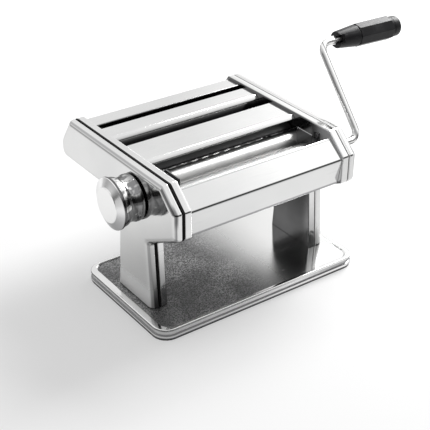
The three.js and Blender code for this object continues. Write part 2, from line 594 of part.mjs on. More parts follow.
function frontRollerBush() {
  const { y, z, journal } = FRONT_SEAT;
  const seat = PLATE_OUT + GAP;
  const flange = barX(journal + BUSH_WALL + BUSH_FLANGE, seat, seat + BUSH_FLANGE, y, z, 12);
  return cut(join(spigotOf(FRONT_SEAT), flange), boreOf(FRONT_SEAT));
}

/** Moulded strip whose spigots carry the four cutters of one side. */
function cutterBearing(side) {
  const seats = cutterSeats(side);
  const [from, to] = [DRIVEN[0] - BEARING_STRIP.margin, MATES[1] + BEARING_STRIP.margin];
  const seat = PLATE_OUT + GAP;
  const outline = roundedRectangle(to - from, BEARING_STRIP.height, BEARING_STRIP.height / 3);
  const strip = alongX(outline, seat, seat + BEARING_STRIP.thickness, 2)
    .translate([0, (from + to) / 2, CUTTER_Z]);
  return cut(join(strip, seats.map(spigotOf)), seats.map(boreOf));
}

for (const [name, side] of SIDES) {
  piece(`${name}_roller_bush`, onSide(side, frontRollerBush()), FINISH.nylon);
  piece(`${name}_cutter_bearing`, onSide(side, cutterBearing(side)), FINISH.nylon);
}

// ---------------------------------------------------------------- gears
/** Involute gear outline with long teeth, which stay in mesh as the rollers are set apart. */
function gearOutline({ teeth, pitchRadius, tipRadius, rootRadius, play, turn = 0 }) {
  const pressure = THREE.MathUtils.degToRad(25);
  const involute = (angle) => Math.tan(angle) - angle;
  const baseRadius = pitchRadius * Math.cos(pressure);
  const halfTooth = Math.PI / (2 * teeth) - play / (2 * pitchRadius) + involute(pressure);
  const flankRadii = [baseRadius * 1.001, tipRadius];
  const flank = [[rootRadius, halfTooth], ...flankRadii.map((radius) => (
    [radius, halfTooth - involute(Math.acos(baseRadius / radius))]))];
  const points = [];
  for (let tooth = 0; tooth < teeth; tooth += 1) {
    const middle = turn + (tooth * 2 * Math.PI) / teeth;
    for (const [radius, angle] of flank) {
      points.push([radius * Math.cos(middle - angle), radius * Math.sin(middle - angle)]);
    }
    for (const [radius, angle] of [...flank].reverse()) {
      points.push([radius * Math.cos(middle + angle), radius * Math.sin(middle + angle)]);
    }
  }
  return polygon(points);
}

function gear(size, y, z, boreRadius) {
  const wheel = alongX(gearOutline(size), GEAR.from, GEAR.from + GEAR.width).translate([0, y, z]);
  const bore = barX(holeFor(boreRadius, SLIDING, 16), GEAR.from - 1, GEAR.from + GEAR.width + 1, y, z, 16);
  return cut(wheel, bore);
}

const GEAR_PLAY = 0.3;
const closest = 2 * ROLLER_RADIUS + THINNEST_SHEET;
const ROLLER_GEAR = { teeth: 12, pitchRadius: closest / 2, tipRadius: closest / 2 + 2, play: GEAR_PLAY };
ROLLER_GEAR.rootRadius = closest - ROLLER_GEAR.tipRadius - 0.35;
const CUTTER_GEAR = {
  teeth: 10, pitchRadius: CUTTER_SPACING / 2, tipRadius: CUTTER_SPACING / 2 + 1.5, play: GEAR_PLAY,
};
CUTTER_GEAR.rootRadius = CUTTER_SPACING - CUTTER_GEAR.tipRadius - 0.35;
/** The rear wheel of a pair stands with a space, not a tooth, towards the front wheel. */
const meshed = (size) => ({ ...size, turn: Math.PI + Math.PI / size.teeth });

// ---------------------------------------------------------------- smooth rollers
const ROLLER_SEGMENTS = 30;
const BORE_RADIUS = SHAFT_RADIUS + CAM_THROW + 0.8;

/** Hexagonal hole for the crank's plug, into the end of a driven journal. */
function driveSocket(y, z) {
  return barX(SOCKET_RADIUS, DRIVE_END - SOCKET_DEPTH, DRIVE_END + 1, y, z, 6);
}

function frontRoller() {
  const blank = turnedX([
    [-JOURNAL_END, 0], [-JOURNAL_END, JOURNAL_RADIUS], [-ROLLER_END, JOURNAL_RADIUS],
    [-ROLLER_END, ROLLER_RADIUS], [ROLLER_END, ROLLER_RADIUS], [ROLLER_END, JOURNAL_RADIUS],
    [DRIVE_END, JOURNAL_RADIUS], [DRIVE_END, 0]], FRONT_ROLLER_Y, ROLLER_Z, ROLLER_SEGMENTS);
  return cut(blank, driveSocket(FRONT_ROLLER_Y, ROLLER_Z));
}

function rearRoller() {
  const end = CAM_FROM - SLIDING;
  const blank = turnedX([
    [-end, 0], [-end, JOURNAL_RADIUS], [-ROLLER_END, JOURNAL_RADIUS], [-ROLLER_END, ROLLER_RADIUS],
    [ROLLER_END, ROLLER_RADIUS], [ROLLER_END, JOURNAL_RADIUS], [end, JOURNAL_RADIUS], [end, 0]],
  REAR_ROLLER_Y, ROLLER_Z, ROLLER_SEGMENTS);
  return cut(blank, barX(BORE_RADIUS, -end - 1, end + 1, REAR_ROLLER_Y, ROLLER_Z, 16));
}

piece('front_roller', frontRoller(), FINISH.satin);
piece('front_roller_gear', gear(ROLLER_GEAR, FRONT_ROLLER_Y, ROLLER_Z, JOURNAL_RADIUS), FINISH.steel);
piece('rear_roller', rearRoller(), FINISH.satin);
piece('rear_roller_gear', gear(meshed(ROLLER_GEAR), REAR_ROLLER_Y, ROLLER_Z, JOURNAL_RADIUS), FINISH.steel);

// ---------------------------------------------------------------- sliding blocks, cams and bridges
function bearingBlock() {
  const [from, middle] = [BLOCK.from, BLOCK.from + BLOCK.bearing];
  const to = middle + BLOCK.window;
  const body = box(from, to, REAR_ROLLER_Y - BLOCK.halfLength, REAR_ROLLER_Y + BLOCK.halfLength,
    ROLLER_Z - BLOCK.halfHeight, ROLLER_Z + BLOCK.halfHeight);
  const bearing = barX(holeFor(JOURNAL_RADIUS, RUNNING, 20), from - 1, middle + 0.1,
    REAR_ROLLER_Y, ROLLER_Z, 20);
  const [wide, high] = [CAM_RADIUS + CAM_PLAY, CAM_RADIUS + CAM_THROW + CAM_PLAY];
  const window = box(middle, to + 1, REAR_ROLLER_Y - wide, REAR_ROLLER_Y + wide,
    ROLLER_Z - high, ROLLER_Z + high);
  return cut(body, bearing, window);
}

/** Eccentric that pushes a block, set on the adjuster's shaft. */
function cam() {
  const to = CAM_FROM + BLOCK.window - SLIDING;
  return cut(barX(CAM_RADIUS, CAM_FROM, to, KNOB_AXIS_Y + CAM_THROW, ROLLER_Z, 20),
    barX(holeFor(SHAFT_RADIUS, RUNNING, 16), CAM_FROM - 1, to + 1, KNOB_AXIS_Y, ROLLER_Z, 16));
}

/** Bridge over a block: it carries the adjuster's shaft, on legs whose tabs go through the side plate. */
function bridge() {
  const far = BRIDGE_FROM + PLATE - GAP;
  const reach = BRIDGE.legZ + PLATE;
  const span = box(BRIDGE_FROM, far, KNOB_AXIS_Y - BRIDGE.halfWidth, KNOB_AXIS_Y + BRIDGE.halfWidth,
    ROLLER_Z - reach, ROLLER_Z + reach);
  const legs = [-1, 1].flatMap((up) => [
    bridgeLeg(up, BRIDGE.halfWidth, 0, PLATE_OUT + GAP, far),
    bridgeLeg(up, BRIDGE.tabHalfWidth, 0, PLATE_IN - GAP, far)]);
  return cut(join(span, legs),
    barX(holeFor(SHAFT_RADIUS, RUNNING, 16), BRIDGE_FROM - 1, far + 1, KNOB_AXIS_Y, ROLLER_Z, 16));
}

for (const [name, side] of SIDES) {
  piece(`${name}_bearing_block`, onSide(side, bearingBlock()), FINISH.steel);
  piece(`${name}_adjuster_bridge`, onSide(side, bridge()), FINISH.steel);
  piece(`${name}_adjuster_cam`, onSide(side, cam()), FINISH.steel);
}

// ---------------------------------------------------------------- adjuster shaft and knob
const KNOB_BACK = -COVER_OUT - KNOB_STANDOFF;          // inner face of the knob, next to the cover
const KNOB_WALL = 3.5;
const KNOB_SQUARE = 5.6;
const SHAFT_TIP = KNOB_BACK - 16;
const SCREW = { radius: 1.5, head: 7, headHeight: 2.2, depth: 8 };
const SPRING = { radius: 5.8, wire: 0.6, turns: 3 };
const KNOB_SEGMENTS = 20;

function squareBar(side, x0, x1) {
  const half = side / 2;
  return box(x0, x1, KNOB_AXIS_Y - half, KNOB_AXIS_Y + half, ROLLER_Z - half, ROLLER_Z + half);
}

function adjusterShaft() {
  const round = barX(SHAFT_RADIUS, KNOB_BACK + 0.8, BRIDGE_FROM + PLATE + 0.6, KNOB_AXIS_Y, ROLLER_Z, 16);
  const tapped = barX(SCREW.radius + GAP, SHAFT_TIP - 1, SHAFT_TIP + SCREW.depth, KNOB_AXIS_Y, ROLLER_Z, 8);
  return cut(join(round, squareBar(KNOB_SQUARE, SHAFT_TIP, KNOB_BACK + 2)), tapped);
}

function knobBody() {
  const [back, front] = [KNOB_BACK, KNOB_BACK - KNOB.bodyDepth];
  const inner = KNOB.waist - 2.5;
  const cup = turnedX([
    [back, 0], [back, KNOB.rear - 0.6], [back - 0.6, KNOB.rear], [back - 3, KNOB.rear],
    [back - 7, KNOB.waist], [back - 11, KNOB.waist], [back - 15.5, KNOB.rim - 1.6], [front + 1, KNOB.rim - 1],
    [front, KNOB.rim - 1.2], [front, inner], [back - KNOB_WALL, inner], [back - KNOB_WALL, 0]],
  KNOB_AXIS_Y, ROLLER_Z, KNOB_SEGMENTS);
  return cut(cup, squareBar(KNOB_SQUARE + 2 * SLIDING, back - 10, back + 1),
    barX(INDEX_PIN_RADIUS + GAP, back - 10, back + 1, KNOB_AXIS_Y + INDEX_RADIUS, ROLLER_Z, 8));
}

function knobFace() {
  const seat = KNOB_BACK - KNOB.bodyDepth - GAP;
  const [rim, front] = [seat - KNOB.rimDepth, seat - KNOB.rimDepth - KNOB.bevelDepth];
  const spigot = KNOB.waist - 2.5 - GAP;
  return turnedX([
    [rim, 0], [rim, spigot - 1.5], [seat + 3, spigot - 1.5], [seat + 3, spigot], [seat, spigot],
    [seat, KNOB.rim - 0.7], [seat - 0.5, KNOB.rim], [rim, KNOB.rim], [rim - 0.6, KNOB.rim - 0.8],
    [front + 0.8, KNOB.face + 1], [front, KNOB.face], [front, 0]],
  KNOB_AXIS_Y, ROLLER_Z, KNOB_SEGMENTS);
}

function indexPin() {
  const [tip, seat] = [-COVER_OUT - GAP, KNOB_BACK - KNOB_WALL - GAP];
  const y = KNOB_AXIS_Y + INDEX_RADIUS;
  return join(barX(INDEX_PIN_RADIUS, seat - 1, tip, y, ROLLER_Z, 8),
    barX(INDEX_PIN_RADIUS * 1.7, seat - 1.2, seat, y, ROLLER_Z, 10));
}

/** Screw in the shaft's end, with a head wide enough to hold the spring. */
function knobScrew() {
  const seat = SHAFT_TIP - GAP;
  return join(barX(SCREW.head, seat - SCREW.headHeight, seat, KNOB_AXIS_Y, ROLLER_Z, 16),
    barX(SCREW.radius, seat - 1, SHAFT_TIP + SCREW.depth - 1, KNOB_AXIS_Y, ROLLER_Z, 8));
}

/** Coil spring that draws the knob against the cover. */
class Coil extends THREE.Curve {
  getPoint(t, target = new THREE.Vector3()) {
    const [from, to] = [KNOB_BACK - KNOB_WALL - SPRING.wire - GAP, SHAFT_TIP + SPRING.wire];
    const angle = t * SPRING.turns * 2 * Math.PI;
    return target.set(from + (to - from) * t,
      KNOB_AXIS_Y + SPRING.radius * Math.cos(angle), ROLLER_Z + SPRING.radius * Math.sin(angle));
  }
}

function circleShape(radius) {
  const shape = new THREE.Shape();
  shape.absarc(0, 0, radius, 0, 2 * Math.PI, false);
  return shape;
}

function swept(radius, path, steps, sides) {
  const quarter = Math.round(sides / 2);
  const settings = { steps, curveSegments: quarter, extrudePath: path };
  return solid(new THREE.ExtrudeGeometry(circleShape(radius), settings));
}

piece('adjuster_shaft', adjusterShaft(), FINISH.steel);
piece('knob_screw', knobScrew(), FINISH.steel);
piece('knob_spring', swept(SPRING.wire, new Coil(), 8 * SPRING.turns, 4), FINISH.steel);
piece('knob_body', knobBody(), FINISH.mirror);
piece('knob_face', knobFace(), FINISH.satin);
piece('index_pin', indexPin(), FINISH.steel);

// ---------------------------------------------------------------- crank and grip
const axisPoint = (x) => new THREE.Vector3(x, FRONT_ROLLER_Y, ROLLER_Z);
const lowElbow = axisPoint(CRANK_ELBOW_X);
const highElbow = lowElbow.clone().add(new THREE.Vector3(0, ARM.back, ARM.up));
const gripAxis = new THREE.Vector3(1, 0, -GRIP_DROOP).normalize();
const ROD_TIP = GRIP.start + GRIP.length - 1;
const GRIP_POCKET = 3;
const GRIP_WASHER = { radius: 6.2, thickness: 1.2 };

/** Centre line of the bent rod: straights joined by smooth bends. */
function rodPath() {
  const corners = [axisPoint(DRIVE_END + 1), lowElbow, highElbow,
    highElbow.clone().addScaledVector(gripAxis, ROD_TIP)];
  const path = new THREE.CurvePath();
  let from = corners[0];
  for (const [i, corner] of corners.slice(1, -1).entries()) {
    const [before, after] = [corners[i], corners[i + 2]].map((end) => (
      corner.clone().addScaledVector(end.clone().sub(corner).normalize(), BEND_RADIUS)));
    path.add(new THREE.LineCurve3(from, before));
    path.add(new THREE.QuadraticBezierCurve3(before, corner, after));
    from = after;
  }
  path.add(new THREE.LineCurve3(from, corners.at(-1)));
  return path;
}

/** A path read at chosen places only: at the ends of its straights, and several times in each bend. */
class Stations extends THREE.Curve {
  constructor(path, perBend) {
    super();
    this.path = path;
    const ends = path.getCurveLengths();
    const whole = ends.at(-1);
    this.places = [0, ...path.curves.flatMap((curve, i) => {
      const steps = curve.isLineCurve3 ? 1 : perBend;
      const start = i === 0 ? 0 : ends[i - 1];
      return Array.from({ length: steps }, (_, k) => (start + ((ends[i] - start) * (k + 1)) / steps) / whole);
    })];
  }

  get steps() {
    return this.places.length - 1;
  }

  getPointAt(u, target) {
    return this.path.getPointAt(this.places[Math.round(u * this.steps)], target);
  }

  getTangentAt(u, target) {
    return this.path.getTangentAt(this.places[Math.round(u * this.steps)], target);
  }
}

function crankRod() {
  const plug = barX(HEX_RADIUS, DRIVE_END - SOCKET_DEPTH + 1, DRIVE_END + 3, FRONT_ROLLER_Y, ROLLER_Z, 6);
  const line = new Stations(rodPath(), 6);
  return join(plug, swept(ROD_RADIUS, line, line.steps, 8));
}

/** Ring of sixteen points about the grip's axis: round, or an octagon of that corner radius. */
function gripRing(distance, radius, octagonal) {
  const turned = THREE.MathUtils.degToRad(GRIP.turned);
  const points = Array.from({ length: 16 }, (_, k) => {
    const flat = octagonal && k % 2 ? Math.cos(Math.PI / 8) : 1;
    const angle = (k / 8) * Math.PI + turned;
    return new THREE.Vector2(radius * flat * Math.cos(angle), radius * flat * Math.sin(angle));
  });
  return { x: distance, points };
}

/** Turns a solid built along +X from the origin onto the grip's axis. */
function onGripAxis(body) {
  const degrees = THREE.MathUtils.radToDeg(Math.atan(GRIP_DROOP));
  return body.rotate([0, degrees, 0]).translate([highElbow.x, highElbow.y, highElbow.z]);
}

function crankGrip() {
  const { start, cone, length, tip, shoulder, corner, endCorner, notchHalf } = GRIP;
  const end = start + length;
  const outside = skin([
    gripRing(start, tip - 0.6, false), gripRing(start + 0.8, tip, false),
    gripRing(start + cone, shoulder, false), gripRing(start + cone + 1, corner, true),
    gripRing(end - 1, endCorner, true), gripRing(end, endCorner - 1, true)]);
  const bore = barX(holeFor(ROD_RADIUS, SLIDING, 12), start - 1, end + 1, 0, 0, 12);
  const pocket = barX(GRIP_WASHER.radius + GAP, end - GRIP_POCKET, end + 1, 0, 0, 12);
  const notch = box(start - 1, start + GRIP.notch, -2 * corner, 2 * corner, -notchHalf, notchHalf)
    .rotate([-GRIP.notchTurned, 0, 0]);
  return onGripAxis(cut(outside, bore, pocket, notch));
}

function gripWasher() {
  const from = GRIP.start + GRIP.length - GRIP_POCKET + GAP;
  return onGripAxis(cut(barX(GRIP_WASHER.radius, from, from + GRIP_WASHER.thickness, 0, 0, 12),
    barX(holeFor(ROD_RADIUS, RUNNING, 12), from - 1, from + 3, 0, 0, 12)));
}

function gripCap() {
  const from = GRIP.start + GRIP.length + GAP;
  const { cap, capLength } = GRIP;
  return onGripAxis(turnedX([[from, 0], [from, cap], [from + capLength - 2.5, cap - 0.3],
    [from + capLength, cap - 2.5], [from + capLength, 0]], 0, 0, 20));
}

piece('crank_rod', crankRod(), FINISH.mirror);
piece('grip_washer', gripWasher(), FINISH.steel);
piece('crank_grip', crankGrip(), FINISH.black);
piece('grip_cap', gripCap(), FINISH.black);

// ---------------------------------------------------------------- cutters and combs
const CUTTER_FLOOR = CUTTER_SPACING - CUTTER_RADIUS - 0.4;

/** How many rings a cutter has, with or without one in the middle of the machine. */
function ringCentres(noodle, shifted) {
  const pitch = 2 * noodle;
  const reach = WORKING_HALF_WIDTH - noodle / 2;
  const most = Math.floor((reach - (shifted ? pitch / 2 : 0)) / pitch);
  const count = shifted ? 2 * most + 2 : 2 * most + 1;
  return Array.from({ length: count }, (_, i) => (i - (count - 1) / 2) * pitch);
}

/** Grooved cutter: rings that run in the grooves of its mate. */
function cutter({ noodle, segments }, y, shifted, rightJournal) {
  const half = noodle / 2 - GAP / 2;
  const profile = [[-JOURNAL_END, 0], [-JOURNAL_END, MATE_JOURNAL_RADIUS], [-ROLLER_END, MATE_JOURNAL_RADIUS],
    [-ROLLER_END, CUTTER_FLOOR]];
  for (const x of ringCentres(noodle, shifted)) {
    profile.push([x - half, CUTTER_FLOOR], [x - half, CUTTER_RADIUS],
      [x + half, CUTTER_RADIUS], [x + half, CUTTER_FLOOR]);
  }
  const end = rightJournal > MATE_JOURNAL_RADIUS ? DRIVE_END : JOURNAL_END;
  profile.push([ROLLER_END, CUTTER_FLOOR], [ROLLER_END, rightJournal], [end, rightJournal], [end, 0]);
  return turnedX(profile, y, CUTTER_Z, segments);
}

const COMB = { play: 0.5, spine: 2.5, tie: 5 };

/** Strip under a cutter, between the side walls, with a finger in each of its grooves. */
function combStrip({ noodle }, y, shifted) {
  const [tip, root] = [CUTTER_Z - CUTTER_FLOOR - COMB.play, CUTTER_Z - CUTTER_RADIUS - COMB.play];
  const half = noodle / 2 - GAP;
  const outline = [[BODY_END, root - COMB.spine], [BODY_END, root]];
  for (const x of ringCentres(noodle, !shifted).reverse()) {
    outline.push([x + half, root], [x + half, tip], [x - half, tip], [x - half, root]);
  }
  outline.push([-BODY_END, root], [-BODY_END, root - COMB.spine]);
  return alongY(polygon(outline), y - SHEET / 2, y + SHEET / 2);
}

/** Both strips of a pair, joined at their ends. */
function comb(pair, front, rear) {
  const root = CUTTER_Z - CUTTER_RADIUS - COMB.play;
  const ends = SIDES.map(([, side]) => onSide(side, box(BODY_END - COMB.tie, BODY_END, front, rear,
    root - COMB.spine, root - COMB.spine + SHEET)));
  return join(combStrip(pair, front, false), combStrip(pair, rear, true), ends);
}

for (const [i, pair] of CUTTERS.entries()) {
  const [front, rear] = [DRIVEN[i], MATES[i]];
  const driven = cut(cutter(pair, front, false, DRIVE_RADIUS), driveSocket(front, CUTTER_Z));
  piece(`${pair.name}_front`, driven, FINISH.satin);
  piece(`${pair.name}_front_gear`, gear(CUTTER_GEAR, front, CUTTER_Z, DRIVE_RADIUS), FINISH.steel);
  piece(`${pair.name}_rear`, cutter(pair, rear, true, MATE_JOURNAL_RADIUS), FINISH.satin);
  const mate = gear(meshed(CUTTER_GEAR), rear, CUTTER_Z, MATE_JOURNAL_RADIUS);
  piece(`${pair.name}_rear_gear`, mate, FINISH.steel);
  piece(`${pair.name}_comb`, comb(pair, front, rear), FINISH.steel);
}

// ---------------------------------------------------------------- scrapers under the smooth rollers
/** Blade that leans against the underside of a roller, on the side away from the nip. */
function scraper(y, way) {
  const angle = THREE.MathUtils.degToRad(50);
  const touch = ROLLER_RADIUS + SCRAPER.reach;
  const tip = [y + way * touch * Math.sin(angle), ROLLER_Z - touch * Math.cos(angle)];
  const heel = [tip[0] + way * SCRAPER.lean, tip[1] - SCRAPER.drop];
  const line = [tip, heel, [heel[0] + way * SCRAPER.foot, heel[1] - SCRAPER.footDrop]];
  return alongX(sheetOutline(way > 0 ? line : line.reverse(), SHEET), -BODY_END, BODY_END);
}

piece('front_roller_scraper', scraper(FRONT_ROLLER_Y, -1), FINISH.steel);
piece('rear_roller_scraper', scraper(REAR_ROLLER_Y, 1), FINISH.steel);

export default machine;
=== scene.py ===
"""Dresses the hand-cranked pasta roller machine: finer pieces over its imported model, and its finishes.

Sizes in the classes are millimetres in the machine's own frame: +X runs along the rollers towards the
crank, -Y is the side where the rolled sheet comes out, and +Z is up from the surface it stands on.
The studio around the machine is laid out in metres.
"""

from __future__ import annotations

import json
import logging
import math
from dataclasses import dataclass, field
from enum import Enum
from typing import Any, Callable, ClassVar, Iterable, Sequence

import bmesh
import bpy
from mathutils import Matrix, Vector

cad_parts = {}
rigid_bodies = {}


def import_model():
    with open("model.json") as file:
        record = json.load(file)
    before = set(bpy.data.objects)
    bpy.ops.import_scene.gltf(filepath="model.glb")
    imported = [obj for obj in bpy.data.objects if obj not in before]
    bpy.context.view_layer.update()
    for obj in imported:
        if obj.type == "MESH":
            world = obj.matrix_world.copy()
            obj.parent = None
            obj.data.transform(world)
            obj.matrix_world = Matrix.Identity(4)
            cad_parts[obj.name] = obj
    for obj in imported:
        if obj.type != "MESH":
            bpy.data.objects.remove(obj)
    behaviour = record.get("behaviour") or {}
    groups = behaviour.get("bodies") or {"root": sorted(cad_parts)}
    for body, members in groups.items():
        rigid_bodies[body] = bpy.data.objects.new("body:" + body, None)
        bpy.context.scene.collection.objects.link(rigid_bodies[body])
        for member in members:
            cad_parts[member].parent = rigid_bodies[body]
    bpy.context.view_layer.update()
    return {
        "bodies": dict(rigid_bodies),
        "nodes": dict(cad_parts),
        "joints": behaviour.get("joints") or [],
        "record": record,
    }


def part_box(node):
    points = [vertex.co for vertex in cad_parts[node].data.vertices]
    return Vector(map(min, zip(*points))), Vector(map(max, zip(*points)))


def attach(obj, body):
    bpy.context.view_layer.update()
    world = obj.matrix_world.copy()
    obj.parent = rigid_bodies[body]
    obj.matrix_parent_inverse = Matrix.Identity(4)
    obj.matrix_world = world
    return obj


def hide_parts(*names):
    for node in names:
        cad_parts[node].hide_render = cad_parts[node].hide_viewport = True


LOG = logging.getLogger("pasta_machine")
MM = 0.001
NEAR = 0.01

Corner = tuple[float, float, float]
Colour = tuple[float, float, float]
Place = tuple[float, float]
Stretch = tuple[float, float]


class Slot(Enum):
    """Material slots of the record."""

    POLISHED = "polished_steel"
    STEEL = "plain_steel"
    ALLOY = "roller_alloy"
    DARK = "dark_plate"
    NYLON = "bearing_nylon"
    PLASTIC = "black_plastic"
    RUBBER = "sole_rubber"


class Axis(Enum):
    """Axes that a finish can change along."""

    X = "x"
    Y = "y"
    Z = "z"


def at(x: float, y: float, z: float) -> Vector:
    """A place given in millimetres."""
    return Vector((x, y, z)) * MM


# ---------------------------------------------------------------- shader graphs
class Signal:
    """An output socket that takes part in Python arithmetic, each sign adding a Math node."""

    def __init__(self, graph: Graph, socket: bpy.types.NodeSocket) -> None:
        """Wraps one output socket of a graph."""
        self.graph = graph
        self.socket = socket

    def math(self, operation: str, first: Any, second: Any = 0.0, clamp: bool = False) -> Signal:
        """Result of a new Math node, held between 0 and 1 where that is asked."""
        return self.graph.node("ShaderNodeMath", {"operation": operation, "use_clamp": clamp},
                               {0: first, 1: second})

    def __add__(self, other: Any) -> Signal:
        """Sum."""
        return self.math("ADD", self, other)

    def __radd__(self, other: Any) -> Signal:
        """Sum with a number on the left."""
        return self.math("ADD", other, self)

    def __sub__(self, other: Any) -> Signal:
        """Difference."""
        return self.math("SUBTRACT", self, other)

    def __rsub__(self, other: Any) -> Signal:
        """Difference from a number on the left."""
        return self.math("SUBTRACT", other, self)

    def __mul__(self, other: Any) -> Signal:
        """Product."""
        return self.math("MULTIPLY", self, other)

    def __rmul__(self, other: Any) -> Signal:
        """Product with a number on the left."""
        return self.math("MULTIPLY", other, self)

    def __truediv__(self, other: Any) -> Signal:
        """Quotient."""
        return self.math("DIVIDE", self, other)

    def __neg__(self) -> Signal:
        """Opposite."""
        return self.math("MULTIPLY", self, -1.0)

    def __abs__(self) -> Signal:
        """Size without its sign."""
        return self.math("ABSOLUTE", self)

    def clamped(self) -> Signal:
        """The signal held between 0 and 1."""
        return self.math("ADD", self, 0.0, clamp=True)

    def at_least(self, other: Any) -> Signal:
        """The larger of two."""
        return self.math("MAXIMUM", self, other)

    def fading(self, rate: float) -> Signal:
        """1 where the signal is 0, falling off exponentially as it grows."""
        return self.math("POWER", math.e, self * -rate)

    def eased(self, low: float, high: float) -> Signal:
        """A smooth step from 0 at the low end to 1 at the high end."""
        return self.graph.node("ShaderNodeMapRange", {"interpolation_type": "SMOOTHSTEP"},
                               {"Value": self, "From Min": low, "From Max": high})

    def between(self, rise: Stretch, fall: Stretch) -> Signal:
        """1 after a smooth rise and before a smooth fall, and 0 outside."""
        return self.eased(*rise) * (1.0 - self.eased(*fall))

    def near(self, level: float, fade: Stretch) -> Signal:
        """1 close to a level, fading to 0 over a stretch of distances from it."""
        return 1.0 - abs(self - level).eased(*fade)


class Graph:
    """Node tree that is filled in one call per node."""

    def __init__(self, tree: bpy.types.NodeTree) -> None:
        """Takes the node tree of a material or a world, and empties it."""
        self.tree = tree
        tree.nodes.clear()

    def node(self, kind: str, settings: dict[str, Any] | None = None,
             inputs: dict[Any, Any] | None = None, output: Any = 0) -> Signal:
        """Adds one node.

        Args:
            kind: The node's type.
            settings: Its properties, set first.
            inputs: Values or signals for its sockets, by name or number.
            output: Name or number of the socket that is given back.

        Returns:
            The signal of that socket.
        """
        made = self.tree.nodes.new(kind)
        for name, value in (settings or {}).items():
            setattr(made, name, value)
        for key, value in (inputs or {}).items():
            socket = made.inputs[key]
            if isinstance(value, Signal):
                self.tree.links.new(value.socket, socket)
            else:
                socket.default_value = value
        return Signal(self, made.outputs[output] if made.outputs else None)

    def place(self) -> Signal:
        """Object coordinates, in metres."""
        return self.node("ShaderNodeTexCoord", output="Object")

    def axes(self, vector: Signal) -> tuple[Signal, ...]:
        """The x, y and z of a vector."""
        split = self.node("ShaderNodeSeparateXYZ", None, {0: vector}).socket.node
        return tuple(Signal(self, output) for output in split.outputs)

    def rays(self, *kinds: str) -> list[Signal]:
        """For each kind of ray, 1 where a ray is of that kind."""
        return [self.node("ShaderNodeLightPath", output=f"Is {kind} Ray") for kind in kinds]

    def moved(self, vector: Signal, scale: Corner, turn: Corner = (0, 0, 0)) -> Signal:
        """Stretches and turns a vector.

        Args:
            vector: The coordinates.
            scale: Factor along each axis.
            turn: Turn about each axis, in degrees.

        Returns:
            The new coordinates.
        """
        angles = tuple(math.radians(a) for a in turn)
        return self.node("ShaderNodeMapping", {"vector_type": "POINT"},
                         {"Vector": vector, "Rotation": angles, "Scale": scale})

    def noise(self, vector: Signal, scale: float, detail: float = 2.0, rough: float = 0.5) -> Signal:
        """Fractal noise around 0.5, with its frequency, its octaves and their strength."""
        return self.node("ShaderNodeTexNoise", None,
                         {"Vector": vector, "Scale": scale, "Detail": detail, "Roughness": rough})

    def blend(self, factor: Any, first: Any, second: Any) -> Signal:
        """Mixes two colours.

        Args:
            factor: 0 for the first and 1 for the second.
            first: A colour or its signal.
            second: A colour or its signal.

        Returns:
            The mixed colour.
        """
        rgba = [c if isinstance(c, Signal) else (*c, 1.0) for c in (first, second)]
        return self.node("ShaderNodeMix", {"data_type": "RGBA"},
                         {0: factor, 6: rgba[0], 7: rgba[1]}, output=2)

    def bump(self, height: Signal, strength: float, distance: float) -> Signal:
        """Normals of a relief, whose full height is given in metres."""
        return self.node("ShaderNodeBump", None,
                         {"Strength": strength, "Distance": distance, "Height": height})

    def close(self, shader: Signal, kind: str = "ShaderNodeOutputMaterial") -> None:
        """Joins a shader to a new output node."""
        self.node(kind, None, {"Surface": shader})


@dataclass(frozen=True)
class Spot:
    """Any spot of a surface, as its material's graph sees it."""

    graph: Graph
    place: Signal
    x: Signal
    y: Signal
    z: Signal

    @classmethod
    def on(cls, graph: Graph) -> Spot:
        """The spot with its place in metres, and its x, y and z in millimetres."""
        place = graph.place()
        return cls(graph, place, *graph.axes(graph.moved(place, (1 / MM, 1 / MM, 1 / MM))))


def scratches(spot: Spot, turns: Iterable[Corner], pitch: float) -> Signal:
    """Fine straight scratches that run several ways, in patches.

    Args:
        spot: The spot of the surface.
        turns: Turn of each set of scratches, in degrees.
        pitch: About how many of a set cross a metre.

    Returns:
        1 on a scratch and 0 between.
    """
    stretched, patch = pitch * 0.03, pitch * 0.06
    sets = [spot.graph.moved(spot.place, (stretched, pitch, pitch), turn) for turn in turns]
    total, *others = [spot.graph.noise(streaks, 1.0, 1.0).eased(0.67, 0.74) for streaks in sets]
    for line in others:
        total = total.at_least(line)
    patchy = spot.graph.noise(spot.place, patch).eased(0.42, 0.62)
    return (total * patchy).clamped()


# ---------------------------------------------------------------- shared stations
@dataclass
class Span:
    """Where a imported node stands, from its lowest to its highest corner, in millimetres."""

    low: Vector
    high: Vector

    @classmethod
    def of(cls, node: str) -> Span:
        """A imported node's span."""
        return cls(*(Vector([round(c / MM, 3) for c in corner]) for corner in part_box(node)))

    @property
    def middle(self) -> Vector:
        """The span's middle."""
        return (self.low + self.high) / 2


